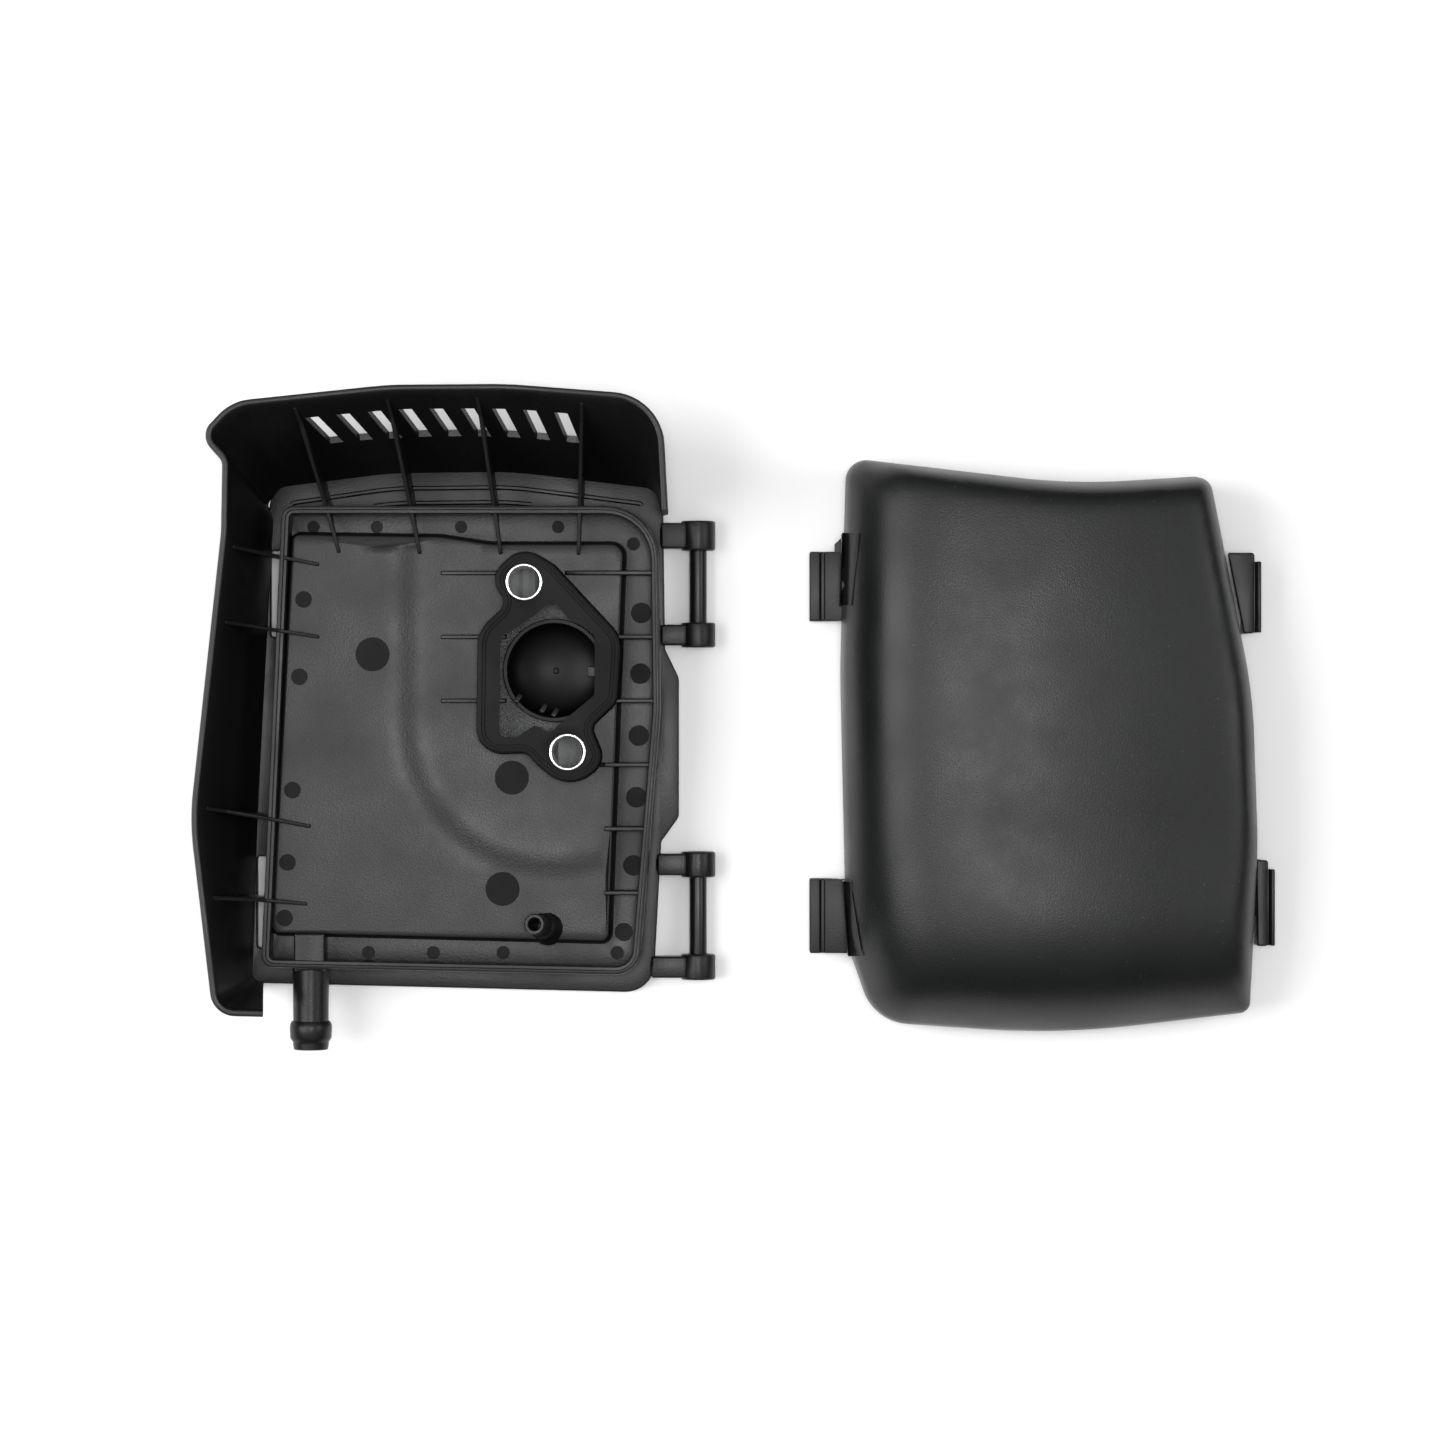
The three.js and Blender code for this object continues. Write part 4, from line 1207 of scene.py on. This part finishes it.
def cover_latch(node):
    """Snap latch: root tab beside the skirt, leg with a catch, and the strip a finger presses."""
    shape = Shape(laid_open)
    form = LATCHES[node]
    leg, (bottom, top) = form["leg"], form["y"]
    strip = leg[1] + 2.4
    crest = high(node)
    tab = [
        [form["root"][0], top, 0.4], [strip - 1.4, top, 0.8], [strip - 1.4, bottom, 0.8],
        [form["root"][1], bottom, 0.4],
    ]
    slab(shape, ring_of(tab, 4), [], 9.2, 10.8, 0.35)
    section = [[leg[0], 10.6, 0.3], [leg[1], 10.6, 0.6], [leg[1], 0, 0.5], [leg[0] + 0.2, 0, 0.5]]
    along_y(shape, section, bottom, top, 0.3)
    tip, start, end = form["catch"]
    wedge = [
        [tip, 4.8, 0.15], [leg[0] + 0.4, 4.8, 0.15], [leg[0] + 0.4, 0.8, 0.15], [tip, 2.6, 0.3],
    ]
    along_y(shape, wedge, start, end, 0.2)
    bend = [
        [leg[1] - 0.6, 10.75, 0.5], [strip - 1.2, 10.75, 0.2], [strip - 1.0, crest, 0.4],
        [strip, crest, 0.4], [strip, 9.3, 0.6], [leg[1] - 0.6, 9.3, 0.3],
    ]
    along_y(shape, bend, bottom + 0.2, top - 2.2, 0.25)
    return shape


# ---- filter element ----

FILTER_EDGE = WALL + 0.4
SEAL_WIDTH = 5.0
FOLDS = 56
PAPER = 0.35


def filter_seal():
    """Soft frame round the paper, with a groove in its lower face."""
    shape = Shape()
    bottom, top = low("filter_seal"), high("filter_seal")
    middle = inset(FRAME, FILTER_EDGE + SEAL_WIDTH / 2)
    profile = [
        (2.5, bottom + 0.8), (2.2, bottom + 0.2), (1.6, bottom), (0.9, bottom), (0.5, bottom + 0.5),
        (-0.1, bottom + 0.5), (-0.5, bottom), (-1.8, bottom), (-2.4, bottom + 0.5), (-2.5, top - 0.6),
        (-2.0, top), (1.9, top), (2.4, top - 0.5),
    ]
    sweep(shape, rounded(middle), profile)
    return shape


def pleats():
    """Folded paper: one zigzag sheet along X with sharp folds along Y."""
    shape = Shape()
    left, right = low("filter_paper", 0), high("filter_paper", 0)
    bottom, top = low("filter_paper"), high("filter_paper")
    loop = np.array([tuple(p) for p in rounded(inset(FRAME, FILTER_EDGE + SEAL_WIDTH))])

    def ends(x):
        """Lowest and highest Y of the frame's inside at an X."""
        ys = []
        for a, b in zip(loop, np.roll(loop, -1, 0)):
            if (a[0] - x) * (b[0] - x) < 0:
                ys.append(a[1] + (b[1] - a[1]) * (x - a[0]) / (b[0] - a[0]))
        return (min(ys), max(ys)) if ys else (0, 0)

    rows = []
    for i in range(FOLDS + 1):
        x = left + 0.4 + (right - left - 0.8) * i / FOLDS
        z = top - 0.1 if i % 2 == 0 else bottom + PAPER + 0.1
        start, end = ends(x)
        start -= 0.2
        end += 0.2
        rows.append([(x, start, z), (x, end, z), (x, end, z - PAPER), (x, start, z - PAPER)])
    shape.rings(rows)
    for row in (rows[0], rows[-1]):
        shape.add(row, [[0, 1, 2, 3]])
    return shape


def foam_pad():
    shape = Shape()
    ring = ring_of(inset(FRAME, FILTER_EDGE + SEAL_WIDTH + 0.2))
    slab(shape, ring, [], low("filter_foam"), high("filter_foam"), 0.7)
    return shape


# ---- pieces ----

SIDE_RIB_NODES = [f"side_rib_{i + 1}" for i in range(len(SIDE_RIBS))]
BASE_PIECES = [
    ("tray_moulding", tray, BASE_PLASTIC, ["base_tray"]),
    ("plate_moulding", plate, BASE_PLASTIC, ["back_plate"]),
    ("plate_ribs", plate_ribs, BASE_PLASTIC, []),
    ("ejector_marks", marks, SATIN_PLASTIC, []),
    ("flange_moulding", flange, SATIN_PLASTIC, ["carb_flange"]),
    ("recess_floor", recess_floor, ETCHED, []),
    ("bowl_moulding", bowl, BOWL_PLASTIC, ["intake_bowl"]),
    ("bowl_snap_tabs", snap_tabs, BASE_PLASTIC, []),
    ("shroud_moulding", shroud, BASE_PLASTIC, ["louvre_hood", "side_shroud"]),
    ("shroud_ribs", shroud_ribs, BASE_PLASTIC, SIDE_RIB_NODES),
    ("spigot_moulding", spigot, BASE_PLASTIC, ["breather_spigot"]),
    ("nipple_moulding", nipple, BASE_PLASTIC, ["vent_nipple"]),
]
for name, make, material, nodes in BASE_PIECES:
    finish_piece(name, make(), material, "base", nodes)
for node, (x, y) in SLEEVES.items():
    finish_piece(f"{node}_rolled", sleeve(x, y, node), ZINC, "base", [node])
for node, start in HINGE_EARS.items():
    piece = hinge_ear(node, start)
    finish_piece(f"{node}_moulding", piece, BASE_PLASTIC, "base", [node])
for node in ("hinge_bar_upper", "hinge_bar_lower"):
    piece = hinge_bar(node)
    finish_piece(f"{node}_smooth", piece, BAR_PLASTIC, "hinge_bars", [node])


def cover_piece(name, shape, nodes, body="cover"):
    finish_piece(name, shape, COVER_PLASTIC, body, nodes)


cover_piece("cover_moulding", cover_shape(), ["cover_shell"])
for node in ("cover_hook_upper", "cover_hook_lower"):
    cover_piece(f"{node}_moulding", cover_hook(node), [node])
cover_piece("cover_gussets", gussets(), [])
for node in LATCHES:
    cover_piece(f"{node}_moulding", cover_latch(node), [node], node.removeprefix("cover_"))


finish_piece("seal_moulding", filter_seal(), urethane(), "base", ["filter_seal"])
finish_piece(
    "pleated_paper", pleats(), filter_paper(), "base", ["filter_paper"], sharp=20,
)
foam_piece = finish_piece(
    "foam_precleaner", foam_pad(), filter_foam(), "base", ["filter_foam"],
)


# ---- stage ----

CAMERA_HEIGHT = 1.2
VIEW_WIDTH = 0.3538
CAMERA_FROM_HINGE = (0.00596, 0.00708)
SENSOR = 36
FLOOR_REACH = 3
HORIZON_STRENGTH = 0.04
ZENITH_STRENGTH = 0.75
# Softboxes: place, size and power.
SOFTBOXES = {
    "top_panel": ((0.03, 0.02, 1.4), (0.24, 0.24), 6.5),
    "left_panel": ((-0.8, 0.05, 0.95), (0.7, 0.9), 12),
    "right_panel": ((0.95, 0.1, 0.85), (0.5, 0.6), 3.5),
}


def look_at(item, target):
    direction = Vector(target) - item.location
    item.rotation_euler = direction.to_track_quat("-Z", "Y").to_euler()


def camera():
    data = bpy.data.cameras.new("camera")
    data.sensor_width = SENSOR
    data.lens = SENSOR * CAMERA_HEIGHT / VIEW_WIDTH
    data.clip_end = 10
    item = bpy.data.objects.new("camera", data)
    item.location = (HINGE.x + CAMERA_FROM_HINGE[0], HINGE.y + CAMERA_FROM_HINGE[1], CAMERA_HEIGHT)
    bpy.context.scene.collection.objects.link(item)
    bpy.context.scene.camera = item


def softbox(name, place, size, power):
    data = bpy.data.lights.new(name, "AREA")
    data.shape = "RECTANGLE"
    data.size, data.size_y = size
    data.energy = power
    item = bpy.data.objects.new(name, data)
    item.location = place
    look_at(item, (0, 0, 0.02))
    bpy.context.scene.collection.objects.link(item)


def floor():
    mesh = bpy.data.meshes.new("floor")
    corners = [(x * FLOOR_REACH, y * FLOOR_REACH, 0) for x, y in ((-1, -1), (1, -1), (1, 1), (-1, 1))]
    mesh.from_pydata(corners, [], [[0, 1, 2, 3]])
    item = bpy.data.objects.new("floor", mesh)
    material, tree, shader, where = new_material("floor_paper")
    colour = cloudy(tree, noise(tree, where, 3, 2), (0.94, 0.94, 0.94), (0.96, 0.96, 0.96))
    dress(tree, shader, Base_Color=colour, Roughness=0.9)
    mesh.materials.append(material)
    bpy.context.scene.collection.objects.link(item)


def world():
    scene = bpy.context.scene
    scene.world = bpy.data.worlds.new("studio")
    scene.world.use_nodes = True
    background = scene.world.node_tree.nodes["Background"]
    background.inputs["Color"].default_value = (1, 1, 1, 1)
    tree = scene.world.node_tree
    where = tree.nodes.new("ShaderNodeTexCoord")
    split = tree.nodes.new("ShaderNodeSeparateXYZ")
    tree.links.new(where.outputs["Generated"], split.inputs["Vector"])
    glow = spread(tree, split.outputs["Z"], HORIZON_STRENGTH, ZENITH_STRENGTH, 0.45, 0.95)
    tree.links.new(glow, background.inputs["Strength"])
    scene.view_settings.view_transform = "Standard"


camera()
floor()
world()
for name, (place, size, power) in SOFTBOXES.items():
    softbox(name, place, size, power)
